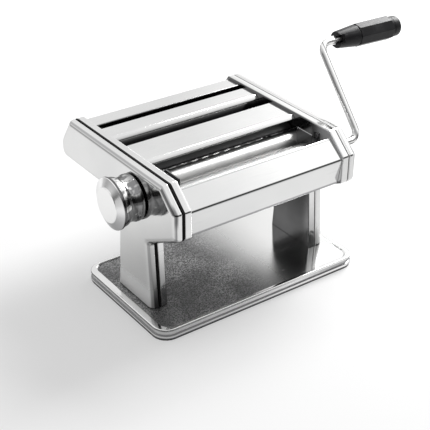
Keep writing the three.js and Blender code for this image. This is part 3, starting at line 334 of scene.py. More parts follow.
@dataclass
class Layout:
    """Stations that several pieces share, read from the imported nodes, and their common sizes."""

    sheet: float = 1.0
    gap: float = 0.3
    base_recess: float = 1.0
    journal: float = 7.5
    journal_end: float = 97.4
    end_play: float = 0.6
    socket: float = 3.85
    socket_depth: float = 19.5
    rod: float = 3.5
    front_chamfer: Place = (22.0, 19.7)
    bar_inset: Place = (1.3, 2.4)
    bar_face: Place = (19.0, 15.7)
    spans: dict[str, Span] = field(default_factory=dict)

    def span(self, node: str) -> Span:
        """A node's span, measured once.

        Args:
            node: The node's name.

        Returns:
            Its span.
        """
        if node not in self.spans:
            self.spans[node] = Span.of(node)
        return self.spans[node]

    @property
    def outer(self) -> Span:
        """The right outer cover."""
        return self.span("right_outer_cover")

    @property
    def inner(self) -> Span:
        """The right inner cover."""
        return self.span("right_inner_cover")

    @property
    def base(self) -> Span:
        """The base's shell."""
        return self.span("base_shell")

    @property
    def roller(self) -> Span:
        """The front roller."""
        return self.span("front_roller")

    @property
    def cup(self) -> Span:
        """The knob's body."""
        return self.span("knob_body")

    @property
    def head_top(self) -> float:
        """Top edge of the side walls."""
        return self.outer.high.z

    @property
    def inner_wall(self) -> float:
        """Inner face of a side wall."""
        return self.inner.low.x

    @property
    def plate_in(self) -> float:
        """Inner face of a side plate."""
        return self.inner.high.x

    @property
    def plate_out(self) -> float:
        """Outer face of a side plate."""
        return self.outer.low.x

    @property
    def cover_out(self) -> float:
        """Outer face of the body."""
        return self.outer.high.x

    @property
    def foot(self) -> float:
        """Lower end of the walls."""
        return self.outer.low.z

    @property
    def body_end(self) -> float:
        """End of each bar and slat."""
        return self.span("front_bar").high.x

    @property
    def bar_nose(self) -> Place:
        """The front bar's foremost edge, as y and z."""
        return (self.outer.low.y + self.bar_inset[0],
                self.head_top - self.front_chamfer[1] - self.bar_inset[1])

    @property
    def bar_top(self) -> Place:
        """The upper edge of the front bar's slanted face, as y and z."""
        return self.bar_nose[0] + self.bar_face[0], self.bar_nose[1] + self.bar_face[1]

    @property
    def roller_z(self) -> float:
        """Height of the smooth rollers."""
        return self.roller.middle.z

    @property
    def roller_radius(self) -> float:
        """Radius of the smooth rollers."""
        return (self.roller.high.z - self.roller.low.z) / 2

    @property
    def barrel_end(self) -> float:
        """Ends of the rollers' and cutters' thick part."""
        return self.inner_wall - self.end_play

    @property
    def front_roller_y(self) -> float:
        """The front roller's axis."""
        return self.roller.middle.y

    @property
    def rear_roller_y(self) -> float:
        """The rear roller's axis."""
        return self.span("rear_roller").middle.y

    @property
    def drive_end(self) -> float:
        """Outer end of the crank's sockets."""
        return self.roller.high.x

    @property
    def knob_y(self) -> float:
        """The knob's axis."""
        return self.cup.middle.y

    @property
    def driven(self) -> tuple[float, float]:
        """Axes of the cutters that the crank drives."""
        return tuple(self.span(f"{pair}_cutter_front").middle.y for pair in ("wide", "narrow"))

    @property
    def wide_y(self) -> float:
        """Middle of the wide pair of cutters."""
        return self.driven[0] + self.cutter_spacing / 2

    @property
    def narrow_y(self) -> float:
        """Middle of the narrow pair of cutters."""
        return self.driven[1] + self.cutter_spacing / 2

    @property
    def cutter_z(self) -> float:
        """Height of the cutters."""
        return self.span("wide_cutter_front").middle.z

    @property
    def cutter_radius(self) -> float:
        """Radius of the cutters."""
        cutter = self.span("wide_cutter_front")
        return (cutter.high.z - cutter.low.z) / 2

    @property
    def cutter_spacing(self) -> float:
        """Between the axes of one pair of cutters."""
        return self.span("wide_cutter_rear").middle.y - self.driven[0]


L = Layout()


# ---------------------------------------------------------------- finishes
@dataclass(frozen=True)
class Finish:
    """A surface finish, made a material once and shared by its pieces."""

    name: str
    slot: Slot
    _made: ClassVar[dict[str, bpy.types.Material]] = {}

    def material(self) -> bpy.types.Material:
        """The finish as a material, made at its first use.

        Returns:
            The material.
        """
        if self.name not in self._made:
            made = bpy.data.materials.new(self.name)
            made.use_nodes = True
            graph = Graph(made.node_tree)
            graph.close(self.shader(Spot.on(graph)))
            self._made[self.name] = made
        return self._made[self.name]

    def shader(self, spot: Spot) -> Signal:
        """The finish's shader at a spot of the surface."""
        raise NotImplementedError


@dataclass(frozen=True)
class SheetSteel(Finish):
    """Bright sheet steel: faint polishing lines, wipe marks and hair scratches."""

    colour: Colour = (0.8, 0.8, 0.795)
    shade: Colour = (0.66, 0.665, 0.67)
    roughness: float = 0.1
    spread: float = 0.08
    grain: Corner = (14, 900, 900)
    relief: float = 0.05
    relief_height: float = 0.0001
    rim: Colour = (0.75, 0.75, 0.75)
    wipes: Corner = (9, 14, 11)
    wipes_turned: Corner = (12, 5, 30)
    wipe_edge: Stretch = (0.3, 0.75)
    hairs_turned: Sequence[Corner] = ((18, 4, 35), (-24, 11, -52))
    hair_pitch: float = 900
    tone_shares: Corner = (0.45, 0.35, 0.25)
    rough_shares: Place = (0.05, 0.08)
    relief_shares: Place = (0.6, 0.4)

    def shader(self, spot: Spot) -> Signal:
        """The finish's shader.

        Args:
            spot: The spot of the surface.

        Returns:
            The shader's signal.
        """
        graph = spot.graph
        lines = graph.noise(graph.moved(spot.place, self.grain), 1.0, 3.0, 0.6)
        smears = graph.noise(graph.moved(spot.place, self.wipes, self.wipes_turned), 1.0, 3.0, 0.55)
        hairs = scratches(spot, self.hairs_turned, self.hair_pitch)
        wipe, line, hair = self.tone_shares
        tone = (smears.eased(*self.wipe_edge) * wipe + (lines - 0.5) * line + hairs * hair).clamped()
        line, hair = self.rough_shares
        rough = self.roughness + (smears - 0.5) * self.spread + (lines - 0.5) * line + hairs * hair
        line, hair = self.relief_shares
        return graph.node("ShaderNodeBsdfPrincipled", None, {
            "Base Color": self.tint(spot, graph.blend(tone, self.colour, self.shade)),
            "Metallic": 1.0, "Roughness": self.haze(spot, rough).clamped(), "Specular Tint": (*self.rim, 1.0),
            "Normal": graph.bump(lines * line + hairs * hair, self.relief, self.relief_height)})

    def haze(self, spot: Spot, rough: Signal) -> Signal:
        """The sheet's roughness, which a finish can change from spot to spot."""
        return rough

    def tint(self, spot: Spot, bright: Signal) -> Signal:
        """The sheet's colour, which a finish can change from spot to spot."""
        return bright


@dataclass(frozen=True)
class PartlyShaded(SheetSteel):
    """Sheet steel with clouded painted shade up to a place on one axis, such as inside a slot."""

    axis: Axis = Axis.X
    edge: Stretch = (0.0, 1.0)
    # Colour of the painted shade where the sheet runs into a slot or hollow.
    painted_shade: Colour = (0.2, 0.2, 0.203)
    cloud_scale: float = 28
    cloud_gain: float = 1.25

    def clouded(self, spot: Spot) -> Signal:
        """The painted shade's tone with its paler clouds."""
        cloud = spot.graph.noise(spot.place, self.cloud_scale, 3.0, 0.6).eased(0.35, 0.7)
        return spot.graph.blend(cloud, self.painted_shade, tuple(c * self.cloud_gain for c in self.painted_shade))

    def tint(self, spot: Spot, bright: Signal) -> Signal:
        """Paints shade on the stretch up to the edge."""
        shining = abs(getattr(spot, self.axis.value)).eased(*self.edge)
        return spot.graph.blend(shining, self.clouded(spot), bright)


@dataclass(frozen=True)
class SunkPanel(PartlyShaded):
    """Steel of the base: bright beads, and a sunk middle that years of dusting have speckled, with painted
    shade on it towards the knob's side.
    """

    lines: Corner = (2.2, 4.9, 9.3)
    line_fade: Stretch = (0.3, 0.75)
    lip: float = 0.6
    dust_and_shade_end: Stretch = (-20.0, 70.0)
    hollow_turn: Stretch = (20.0, 100.0)
    grit: float = 950.0
    dust_patches: float = 22.0
    dust_least: float = 0.45
    dust: Colour = (0.55, 0.55, 0.55)
    # Painted light and shade: light on the side wall and on the groove towards the knob's side, shade on the
    # lines between the beads and on the groove towards the crank's side.
    side: Colour = (0.92, 0.92, 0.92)
    line: Colour = (0.3, 0.3, 0.305)
    hollow: Colour = (0.95, 0.95, 0.95)
    groove_shade_right: Colour = (0.42, 0.42, 0.425)
    rougher: float = 0.4

    def haze(self, spot: Spot, rough: Signal) -> Signal:
        """Roughens the sunk middle where it is speckled."""
        sunk = 1.0 - spot.z.eased(*self.edge)
        return rough + sunk * (1.0 - spot.x.eased(*self.dust_and_shade_end)) * self.rougher

    def panel(self, spot: Spot) -> Signal:
        """The sunk middle, speckled with dust and darkened with painted shade towards the knob's side.

        Args:
            spot: The spot of the surface.

        Returns:
            Its colour.
        """
        graph, clean_unshaded = spot.graph, spot.x.eased(*self.dust_and_shade_end)
        specks = graph.noise(spot.place, self.grit, 2.0, 0.7).eased(0.42, 0.62)
        level = graph.moved(spot.place, (1, 1, 0))
        patches = graph.noise(level, self.dust_patches, 2.0, 0.5).eased(0.38, 0.62)
        dusted = specks * (self.dust_least + patches * (1.0 - self.dust_least)) * (1.0 - clean_unshaded)
        # Painted shade darkens the sunk middle towards the knob's side, under the dust specks.
        return graph.blend(dusted, graph.blend(clean_unshaded, self.painted_shade, self.colour), self.dust)

    def tint(self, spot: Spot, bright: Signal) -> Signal:
        """Lays the panel, painted light on the side wall and the groove, painted shade in the groove towards
        the crank's side, and painted shade lines where the beads meet.

        Args:
            spot: The spot of the surface.
            bright: The bright sheet's colour.

        Returns:
            The base's colour.
        """
        graph, z = spot.graph, spot.z
        _, low, high = self.lines
        colour = graph.blend(z.eased(*self.edge), self.panel(spot), bright)
        wall = 1.0 - z.eased(high + self.lip, high + 2 * self.lip)
        colour = graph.blend(wall, colour, self.side)
        rise = (low + self.lip / 2, low + self.lip)
        groove = z.between(rise, (high - self.lip, high - self.lip / 2))
        # Painted light in the groove towards the knob's side, painted shade towards the crank's side.
        floor = graph.blend(spot.x.eased(*self.hollow_turn), self.hollow, self.groove_shade_right)
        colour = graph.blend(groove, colour, floor)
        # Painted shade lines where the beads meet.
        for level in self.lines:
            colour = graph.blend(z.near(level, self.line_fade), colour, self.line)
        return colour


@dataclass(frozen=True)
class CoverSteel(SheetSteel):
    """Steel of the outer covers: a painted shade line in the rounding, painted shade in the crease under the
    front chamfer, and painted shade on the flanges with a painted contact shadow by the foot.
    """

    rounding: float = 6.0
    fall: Stretch = (4.4, 5.3)
    # Place, weight and colour of the painted shade line in the rounding.
    ridge_rise: Stretch = (2.6, 3.8)
    ridge_share: float = 0.8
    ridge: Colour = (0.34, 0.34, 0.345)
    # Place, reach and colour of the painted shade in the crease below the front chamfer.
    crease_rise: Stretch = (1.4, 3.0)
    crease_share: float = 0.85
    crease: Place = (4.0, 22.5)
    crease_fade: Stretch = (3.0, 10.0)
    crease_length: float = 0.7
    crease_shade: Colour = (0.16, 0.16, 0.163)
    # Place and colour of the painted shade on the flanges, darkest low on the left column, and of the painted
    # contact shadow at the foot.
    flange_edge: Stretch = (2.0, 4.0)
    shoulder: Stretch = (73.0, 82.0)
    flange_shares: Place = (0.3, 0.68)
    middle: Stretch = (-10.0, 10.0)
    right_spared: float = 0.8
    contact: Stretch = (0.3, 1.5)
    contact_share: float = 0.9
    foot_shade: Colour = (0.05, 0.05, 0.051)
    foot_height: float = 30.0
    foot_haze: float = 0.65

    def haze(self, spot: Spot, rough: Signal) -> Signal:
        """Roughens the column by the foot."""
        return rough + (1.0 - spot.z.eased(L.foot, L.foot + self.foot_height)) * self.foot_haze

    def outwards(self, spot: Spot) -> Signal:
        """How far a spot stands out from where the rounding starts."""
        return abs(spot.x) - (L.cover_out - self.rounding)

    def crease_shade_depth(self, spot: Spot) -> Signal:
        """Depth of the painted shade in the crease below the front chamfer's corner.

        Args:
            spot: The spot of the surface.

        Returns:
            The crease's share of the colour.
        """
        back = spot.y - (L.outer.low.y + self.crease[0])
        up = (spot.z - (L.head_top - self.crease[1])) * self.crease_length
        apart = back * back + up * up
        pinch = 1.0 - apart.math("SQRT", apart).eased(*self.crease_fade)
        return pinch * self.outwards(spot).between(self.crease_rise, self.fall) * self.crease_share

    def foot_shade_depth(self, spot: Spot) -> Signal:
        """Depth of the painted shade on the flanges, and of the painted contact shadow where the foot meets
        the base.

        Args:
            spot: The spot of the surface.

        Returns:
            Their share of the colour.
        """
        column = 1.0 - spot.z.eased(*self.shoulder)
        low = 1.0 - spot.z.eased(L.foot, self.shoulder[1])
        least, gain = self.flange_shares
        flange = (1.0 - self.outwards(spot).eased(*self.flange_edge)) * column * (least + low * low * gain)
        spared = 1.0 - spot.x.eased(*self.middle) * self.right_spared
        contact = 1.0 - (spot.z - L.foot).eased(*self.contact)
        return (flange * spared).at_least(contact * self.contact_share)

    def tint(self, spot: Spot, bright: Signal) -> Signal:
        """Draws the rounding's painted shade line, the painted shade in the crease and the painted shade by
        the foot.

        Args:
            spot: The spot of the surface.
            bright: The bright sheet's colour.

        Returns:
            The shaded colour.
        """
        ridge = self.outwards(spot).between(self.ridge_rise, self.fall) * self.ridge_share
        lined = spot.graph.blend(ridge, bright, self.ridge)
        lined = spot.graph.blend(self.crease_shade_depth(spot), lined, self.crease_shade)
        return spot.graph.blend(self.foot_shade_depth(spot), lined, self.foot_shade)


@dataclass(frozen=True)
class Liner(PartlyShaded):
    """Steel of the inner covers: bright rim with painted shade lower down, and a wall of painted shade that
    is darkest away from the front.
    """

    front: Stretch = (30.0, 56.0)
    # Lighter painted shade of the wall close to the machine's front.
    front_shade: Colour = (0.62, 0.62, 0.625)
    front_haze: float = 0.6
    haze_edge: Stretch = (0.0, 8.0)
    # How far down the rim takes painted shade, and how much.
    rim_low: Stretch = (0.0, 80.0)
    rim_share: float = 0.9

    def on_rim(self, spot: Spot) -> Signal:
        """0 on the wall and 1 on its rim."""
        return (abs(spot.x) - L.inner_wall).eased(*self.edge)

    def behind(self, spot: Spot) -> Signal:
        """0 by the machine's front, 1 from the rollers on."""
        return (spot.y - L.outer.low.y).eased(*self.front)

    def haze(self, spot: Spot, rough: Signal) -> Signal:
        """Roughens the wall above the rollers, by the machine's front."""
        wall = (1.0 - self.on_rim(spot)) * (1.0 - self.behind(spot))
        return rough + wall * (spot.z - L.roller_z).eased(*self.haze_edge) * self.front_haze

    def tint(self, spot: Spot, bright: Signal) -> Signal:
        """Paints shade on the wall, less of it close to the machine's front, and on the rim lower down.

        Args:
            spot: The spot of the surface.
            bright: The bright sheet's colour.

        Returns:
            The colour with the wall in it.
        """
        graph = spot.graph
        wall = graph.blend(self.behind(spot), self.front_shade, self.clouded(spot))
        rim = graph.blend((1.0 - spot.z.eased(*self.rim_low)) * self.rim_share, bright, self.painted_shade)
        return graph.blend(self.on_rim(spot), wall, rim)


@dataclass(frozen=True)
class RoundRod(SheetSteel):
    """Drawn rod: painted shade on its sides, and a painted reflection on the arm: a grey band and a thin line
    along it.
    """

    # Colour of the painted shade and reflection; the values below place them.
    grey: Colour = (0.2, 0.2, 0.203)
    aside: Corner = (-0.8605, 0.3893, -0.329)
    over: Place = (0.5848, 0.8112)
    reach: float = 58.4
    arm_edge: Stretch = (1.1, 1.4)
    band_rise: Stretch = (-0.3, 0.1)
    band_fall: Stretch = (0.5, 1.0)
    band_lost: float = 0.4
    band_shares: Place = (0.84, 0.52)
    band_height: float = 45.0
    line_place: float = -0.8
    line_fade: Stretch = (0.07, 0.2)
    line_share: float = 0.85
    side_rise: Stretch = (0.5, 0.95)
    side_spared: float = 0.9

    def tint(self, spot: Spot, bright: Signal) -> Signal:
        """Paints shade on the stub's sides, and the reflected band and line on the arm.

        Args:
            spot: The spot of the surface.
            bright: The rod's colour.

        Returns:
            The colour with the painted shade and reflection in it.
        """
        right = spot.x - (L.span("crank_rod").low.x + self.reach)
        back, up = spot.y - L.front_roller_y, spot.z - L.roller_z
        off = (right * self.aside[0] + back * self.aside[1] + up * self.aside[2]) / L.rod
        arm = off.near(0.0, self.arm_edge)
        low, high = self.band_shares
        depth = low - up.eased(0.0, self.band_height) * (low - high)
        band = off.eased(*self.band_rise) * (1.0 - off.eased(*self.band_fall) * self.band_lost) * depth
        line = off.near(self.line_place, self.line_fade) * self.line_share
        away = abs(back * self.over[0] + up * self.over[1]) / L.rod
        sides = away.between(self.side_rise, self.arm_edge) * (1.0 - arm * self.side_spared)
        return spot.graph.blend(sides.at_least(band.at_least(line) * arm), bright, self.grey)


@dataclass(frozen=True)
class BarSteel(SheetSteel):
    """Steel of the front bar: a painted shade line under its upper edge, and painted shade on its lower fold.
    """

    # Place of the painted shade line under the upper edge, and where the painted shade on the fold begins.
    shade_line_drop: float = 2.1
    shade_line_fade: Stretch = (0.15, 0.4)
    fold: Stretch = (103.2, 104.4)
    line: Colour = (0.5, 0.5, 0.5)
    fold_shade: Colour = (0.36, 0.36, 0.365)

    def tint(self, spot: Spot, bright: Signal) -> Signal:
        """Draws the painted shade line and the painted shade on the fold.

        Args:
            spot: The spot of the surface.
            bright: The bar's colour.

        Returns:
            The colour with both in it.
        """
        y, z = L.bar_top
        slope = (Vector(L.bar_nose) - Vector(L.bar_top)).normalized()
        down = (spot.y - y) * slope.x + (spot.z - z) * slope.y
        shade_lined = spot.graph.blend(down.near(self.shade_line_drop, self.shade_line_fade), bright, self.line)
        return spot.graph.blend(spot.z.eased(*self.fold), self.fold_shade, shade_lined)


@dataclass(frozen=True)
class KnobSide(SheetSteel):
    """Steel of the knob's waisted side: painted light above with painted reflection blotches, painted shade
    below and at its root.
    """

    # Where the painted light, its blotches of painted reflection and the painted shade fall.
    root: Stretch = (2.0, 11.0)
    rise: Place = (24.0, 60.0)
    blotches: Corner = (75, 120, 120)
    blotches_turned: Corner = (3, 8, 2)
    blotch_weight: float = 4.5
    lit_rise: Stretch = (0.6, 1.0)
    root_least: float = 0.25
    dark: Colour = (0.24, 0.24, 0.243)

    def tint(self, spot: Spot, bright: Signal) -> Signal:
        """Paints shade on the underside and the root, and light with reflection blotches above.

        Args:
            spot: The spot of the surface.
            bright: The knob's bright colour.

        Returns:
            The shaded colour.
        """
        graph = spot.graph
        rise = (spot.z - L.roller_z) / self.rise[0] - (spot.y - L.knob_y) / self.rise[1]
        stretched = graph.moved(spot.place, self.blotches, self.blotches_turned)
        blotch = graph.noise(stretched, 1.0, 2.0, 0.6) - 0.5
        lit = (rise + blotch * self.blotch_weight).eased(*self.lit_rise)
        root = (L.cup.high.x - spot.x).eased(*self.root) * (1.0 - self.root_least) + self.root_least
        return graph.blend(lit * root, self.dark, bright)


@dataclass(frozen=True)
class KnobFace(SheetSteel):
    """Steel of the knob's front: a white-bright disc inside a bevel with painted light above and painted
    shade below.
    """

    ring: Stretch = (2.5, 2.9)
    disc: Stretch = (-0.6, -0.2)
    bevel_rise: Stretch = (-6.0, 10.0)
    # Painted shade and light on the bevel, and painted shade in the ring behind the disc.
    bevel: Colour = (0.6, 0.6, 0.605)
    upper: Colour = (1.0, 1.0, 1.0)
    dark: Colour = (0.14, 0.14, 0.142)

    def tint(self, spot: Spot, bright: Signal) -> Signal:
        """Paints light and shade on the bevel around the disc, and paints shade in the ring behind it.

        Args:
            spot: The spot of the surface.
            bright: The disc's colour.

        Returns:
            The colour with the bevel in it.
        """
        graph = spot.graph
        shade = graph.blend((spot.z - L.roller_z).eased(*self.bevel_rise), self.bevel, self.upper)
        ring = (L.cup.low.x - spot.x).eased(*self.ring)
        disc = (L.span("knob_face").low.x - spot.x).eased(*self.disc)
        return graph.blend(disc, graph.blend(ring, self.dark, shade), bright)


@dataclass(frozen=True)
class TurnedMetal(Finish):
    """Turned or machined metal: fine rings about the X axis."""

    colour: Colour = (0.6, 0.6, 0.6)
    shade: Colour = (0.42, 0.42, 0.43)
    roughness: float = 0.3
    rings: float = 2500
    rings_across: float = 40
    stains: float = 60
    relief: float = 0.12
    relief_height: float = 0.0001
    nicks_turned: Sequence[Corner] = ((30, 10, 20), (-40, 25, -30))
    nick_pitch: float = 700
    stain_edge: Stretch = (0.35, 0.7)
    tone_shares: Place = (0.6, 0.5)
    rough_shares: Corner = (0.14, 0.12, 0.1)
    relief_shares: Place = (0.8, 0.2)

    def shader(self, spot: Spot) -> Signal:
        """The finish's shader.

        Args:
            spot: The spot of the surface.

        Returns:
            The shader's signal.
        """
        graph = spot.graph
        turned_lines = graph.moved(spot.place, (self.rings, self.rings_across, self.rings_across))
        rings = graph.noise(turned_lines, 1.0, 2.0, 0.6)
        stains = graph.noise(spot.place, self.stains, 3.0, 0.6)
        nicks = scratches(spot, self.nicks_turned, self.nick_pitch)
        stain, ring = self.tone_shares
        tone = (stains.eased(*self.stain_edge) * stain + (rings - 0.5) * ring).clamped()
        stain, ring, nick = self.rough_shares
        rough = self.roughness + (stains - 0.5) * stain + (rings - 0.5) * ring + nicks * nick
        ring, nick = self.relief_shares
        return graph.node("ShaderNodeBsdfPrincipled", None, {
            "Base Color": graph.blend(tone, self.colour, self.shade), "Metallic": 1.0,
            "Roughness": rough.clamped(),
            "Normal": graph.bump(rings * ring + nicks * nick, self.relief, self.relief_height)})


@dataclass(frozen=True)
class Coated(Finish):
    """Painted, moulded or rubber surface without metal."""

    colour: Colour = (0.02, 0.02, 0.021)
    worn: Colour = (0.07, 0.07, 0.072)
    roughness: float = 0.4
    speck: float = 900
    clouds: float = 45
    relief: float = 0.12
    relief_height: float = 0.0002
    coat: float = 0.0
    shine: float = 0.5
    scuffs_turned: Sequence[Corner] = ((8, 3, 12), (-15, 6, 75))
    scuff_pitch: float = 650
    cloud_edge: Stretch = (0.45, 0.8)
    tone_shares: Corner = (0.35, 0.6, 0.25)
    rough_shares: Corner = (0.16, 0.15, 0.1)

    def shader(self, spot: Spot) -> Signal:
        """The finish's shader.

        Args:
            spot: The spot of the surface.

        Returns:
            The shader's signal.
        """
        graph = spot.graph
        pores = graph.noise(spot.place, self.speck, 2.0, 0.6)
        cloud = graph.noise(spot.place, self.clouds, 3.0, 0.6)
        scuffs = scratches(spot, self.scuffs_turned, self.scuff_pitch)
        haze, scuff, pore = self.tone_shares
        tone = (cloud.eased(*self.cloud_edge) * haze + scuffs * scuff + (pores - 0.5) * pore).clamped()
        haze, scuff, pore = self.rough_shares
        rough = self.roughness + (cloud - 0.5) * haze + scuffs * scuff + (pores - 0.5) * pore
        return graph.node("ShaderNodeBsdfPrincipled", None, {
            "Base Color": graph.blend(tone, self.colour, self.worn), "Roughness": rough.clamped(),
            "Coat Weight": self.coat, "Specular IOR Level": self.shine,
            "Normal": graph.bump(pores, self.relief, self.relief_height)})


POLISHED = SheetSteel("polished_sheet", Slot.POLISHED)
COVER = CoverSteel("cover_sheet", Slot.POLISHED)
LINER = Liner("liner_sheet", Slot.POLISHED, edge=(0.4, 1.2), painted_shade=(0.13, 0.13, 0.132))
BAR = BarSteel("front_bar_sheet", Slot.POLISHED)
GUIDE = SheetSteel("guide_sheet", Slot.STEEL, colour=(0.2, 0.2, 0.203), shade=(0.14, 0.14, 0.142),
                   roughness=0.3)
# The right side plate's edge gets painted light: a light grey, where the left plate keeps the dark plate's
# colour.
LIT_PLATE_EDGE = SheetSteel("plate_edge_steel", Slot.STEEL, colour=(0.62, 0.62, 0.62), shade=(0.5, 0.5, 0.5),
                         roughness=0.3)
# The rear bar and the slats take painted shade where they reach down into the slots.
REAR = PartlyShaded("rear_bar_sheet", Slot.POLISHED, axis=Axis.Y, edge=(90.0, 92.0),
                  painted_shade=(0.07, 0.07, 0.071))
SLAT = PartlyShaded("slat_sheet", Slot.POLISHED, axis=Axis.Z, edge=(141.0, 146.2),
                  painted_shade=(0.07, 0.07, 0.071))
SUNK = SunkPanel("base_sheet", Slot.POLISHED, edge=(11.05, 11.5), painted_shade=(0.13, 0.13, 0.132),
                 rim=(0.4, 0.4, 0.4))
BRIGHT_ROD = RoundRod("bright_rod", Slot.POLISHED, colour=(0.97, 0.97, 0.96), roughness=0.3,
                      shade=(0.82, 0.82, 0.82), grain=(60, 500, 500), relief=0.01, rim=(0.1, 0.1, 0.1))
KNOB_STEEL = KnobSide("knob_steel", Slot.POLISHED, colour=(0.88, 0.88, 0.87), grain=(700, 30, 30))
KNOB_FACE = KnobFace("knob_face_steel", Slot.POLISHED, colour=(0.92, 0.92, 0.915), shade=(0.82, 0.82, 0.82),
                     roughness=0.12, grain=(700, 30, 30))
PLAIN = TurnedMetal("plain_steel_parts", Slot.STEEL, colour=(0.56, 0.56, 0.56), roughness=0.34)
# The rollers' and cutters' alloy is set darker than bright alloy, as painted shade of the slots they turn in.
ALLOY = TurnedMetal("roller_alloy_turned", Slot.ALLOY, colour=(0.36, 0.36, 0.355),
                    shade=(0.27, 0.27, 0.273), roughness=0.33, rings=500, relief=0.01)
DARK = Coated("dark_side_plate", Slot.DARK, colour=(0.006, 0.006, 0.006), worn=(0.02, 0.02, 0.02),
              roughness=0.6, shine=0.1)
NYLON = Coated("bearing_nylon_moulded", Slot.NYLON, colour=(0.82, 0.8, 0.74), worn=(0.7, 0.68, 0.62),
               roughness=0.5)
GRIP_PLASTIC = Coated("grip_plastic", Slot.PLASTIC, colour=(0.012, 0.012, 0.013),
                      worn=(0.05, 0.05, 0.052), roughness=0.34, speck=1200, relief=0.06, shine=0.16)
RUBBER = Coated("sole_rubber_moulded", Slot.RUBBER, colour=(0.012, 0.012, 0.012), roughness=0.7)

CARRIED: dict[Slot, Finish] = {finish.slot: finish for finish in (
    POLISHED, PLAIN, ALLOY, DARK, NYLON, GRIP_PLASTIC, RUBBER)}


# ---------------------------------------------------------------- the bench
class Carving(Enum):
    """What a carving tool does to a piece."""

    DIFFERENCE = "cut"
    UNION = "join"


class Kind(Enum):
    """What can be picked on the bench, and where a mesh keeps it."""

    VERT = "verts"
    EDGE = "edges"
    FACE = "faces"


class Bench:
    """One piece in edit mode, with what is worked on picked by its place or direction."""

    def __init__(self, piece: bpy.types.Object) -> None:
        """Takes the mesh object to work on."""
        self.piece = piece

    def __enter__(self) -> Bench:
        """Opens the piece in edit mode with nothing picked.

        Returns:
            The bench.
        """
        alone(self.piece)
        bpy.ops.object.mode_set(mode="EDIT")
        bpy.ops.mesh.select_all(action="DESELECT")
        return self

    def __exit__(self, *_: Any) -> None:
        """Goes back to object mode."""
        bpy.ops.object.mode_set(mode="OBJECT")

    def everything(self) -> None:
        """Picks the whole piece."""
        bpy.ops.mesh.select_all(action="SELECT")

    def _pick(self, kind: Kind, test: Callable[[Any], bool]) -> None:
        """Picks what passes a test, and nothing else.

        Args:
            kind: What is picked.
            test: Takes one vertex, edge or face.
        """
        bpy.ops.mesh.select_mode(type=kind.name)
        bpy.ops.mesh.select_all(action="DESELECT")
        mesh = bmesh.from_edit_mesh(self.piece.data)
        if kind is Kind.FACE:
            mesh.normal_update()
        for one in getattr(mesh, kind.value):
            one.select_set(test(one))
        mesh.select_flush_mode()
        bmesh.update_edit_mesh(self.piece.data)

    def vertices(self, test: Callable[[Vector], bool]) -> None:
        """Picks vertices by their place in millimetres."""
        self._pick(Kind.VERT, lambda vertex: test(vertex.co / MM))

    def edges(self, test: Callable[[Vector, Vector], bool]) -> None:
        """Picks edges by the places of their ends in millimetres."""
        self._pick(Kind.EDGE, lambda edge: test(*(end.co / MM for end in edge.verts)))

    def faces(self, test: Callable[[Vector, Vector], bool]) -> None:
        """Picks faces by their centre in millimetres and their normal."""
        self._pick(Kind.FACE, lambda face: test(face.calc_center_median() / MM, face.normal))

    @staticmethod
    def extrude(step: Vector) -> None:
        """Extrudes what is picked by a step in millimetres."""
        bpy.ops.mesh.extrude_region_move(TRANSFORM_OT_translate={"value": step * MM})

    @staticmethod
    def scale(factors: Corner, centre: Vector) -> None:
        """Scales what is picked along each axis, about a place in millimetres."""
        bpy.ops.transform.resize(value=factors, center_override=centre * MM)

    @staticmethod
    def bevel(width: float, segments: int, corners: bool = False) -> None:
        """Bevels the picked edges, or the picked vertices, by an offset in millimetres."""
        bpy.ops.mesh.bevel(offset=width * MM, segments=segments, profile=0.5, clamp_overlap=False,
                           affect="VERTICES" if corners else "EDGES")

    @staticmethod
    def cut_level(height: float, clear: bool = False) -> None:
        """Cuts what is picked at a height, and may take away what is below and close the cut."""
        bpy.ops.mesh.bisect(plane_co=at(0, 0, height), plane_no=(0, 0, 1), clear_inner=clear, use_fill=clear)

    @staticmethod
    def spin(centre: Vector, axis: Vector, degrees: float, steps: int) -> None:
        """Spins what is picked about an axis, whose centre is in millimetres."""
        bpy.ops.mesh.spin(steps=steps, angle=math.radians(degrees), center=centre * MM, axis=axis)

    def weld(self) -> None:
        """Merges doubles and turns every face outwards."""
        bpy.ops.mesh.select_mode(type="VERT")
        self.everything()
        bpy.ops.mesh.remove_doubles(threshold=1e-6)
        self.everything()
        bpy.ops.mesh.normals_make_consistent(inside=False)


def alone(piece: bpy.types.Object) -> None:
    """Makes a piece the only one selected.

    Args:
        piece: The object.
    """
    if bpy.context.object and bpy.context.object.mode != "OBJECT":
        bpy.ops.object.mode_set(mode="OBJECT")
    bpy.ops.object.select_all(action="DESELECT")
    piece.select_set(True)
    bpy.context.view_layer.objects.active = piece


def started(name: str, add: Callable[..., Any], **settings: Any) -> bpy.types.Object:
    """Starts a piece from a primitive, with its place put into its mesh.

    Args:
        name: The piece's name.
        add: The operator that adds the primitive.
        settings: The operator's settings, in metres.

    Returns:
        The new object.
    """
    bpy.ops.object.select_all(action="DESELECT")
    add(**settings)
    piece = bpy.context.object
    piece.name = name
    piece.data.name = name
    settle(piece)
    return piece


def settle(piece: bpy.types.Object, turn: Matrix | None = None) -> None:
    """Puts an object's place into its mesh.

    Args:
        piece: The object.
        turn: A matrix that moves it first, in metres.
    """
    alone(piece)
    if turn is not None:
        piece.matrix_world = turn @ piece.matrix_world
    bpy.ops.object.transform_apply(location=True, rotation=True, scale=True)


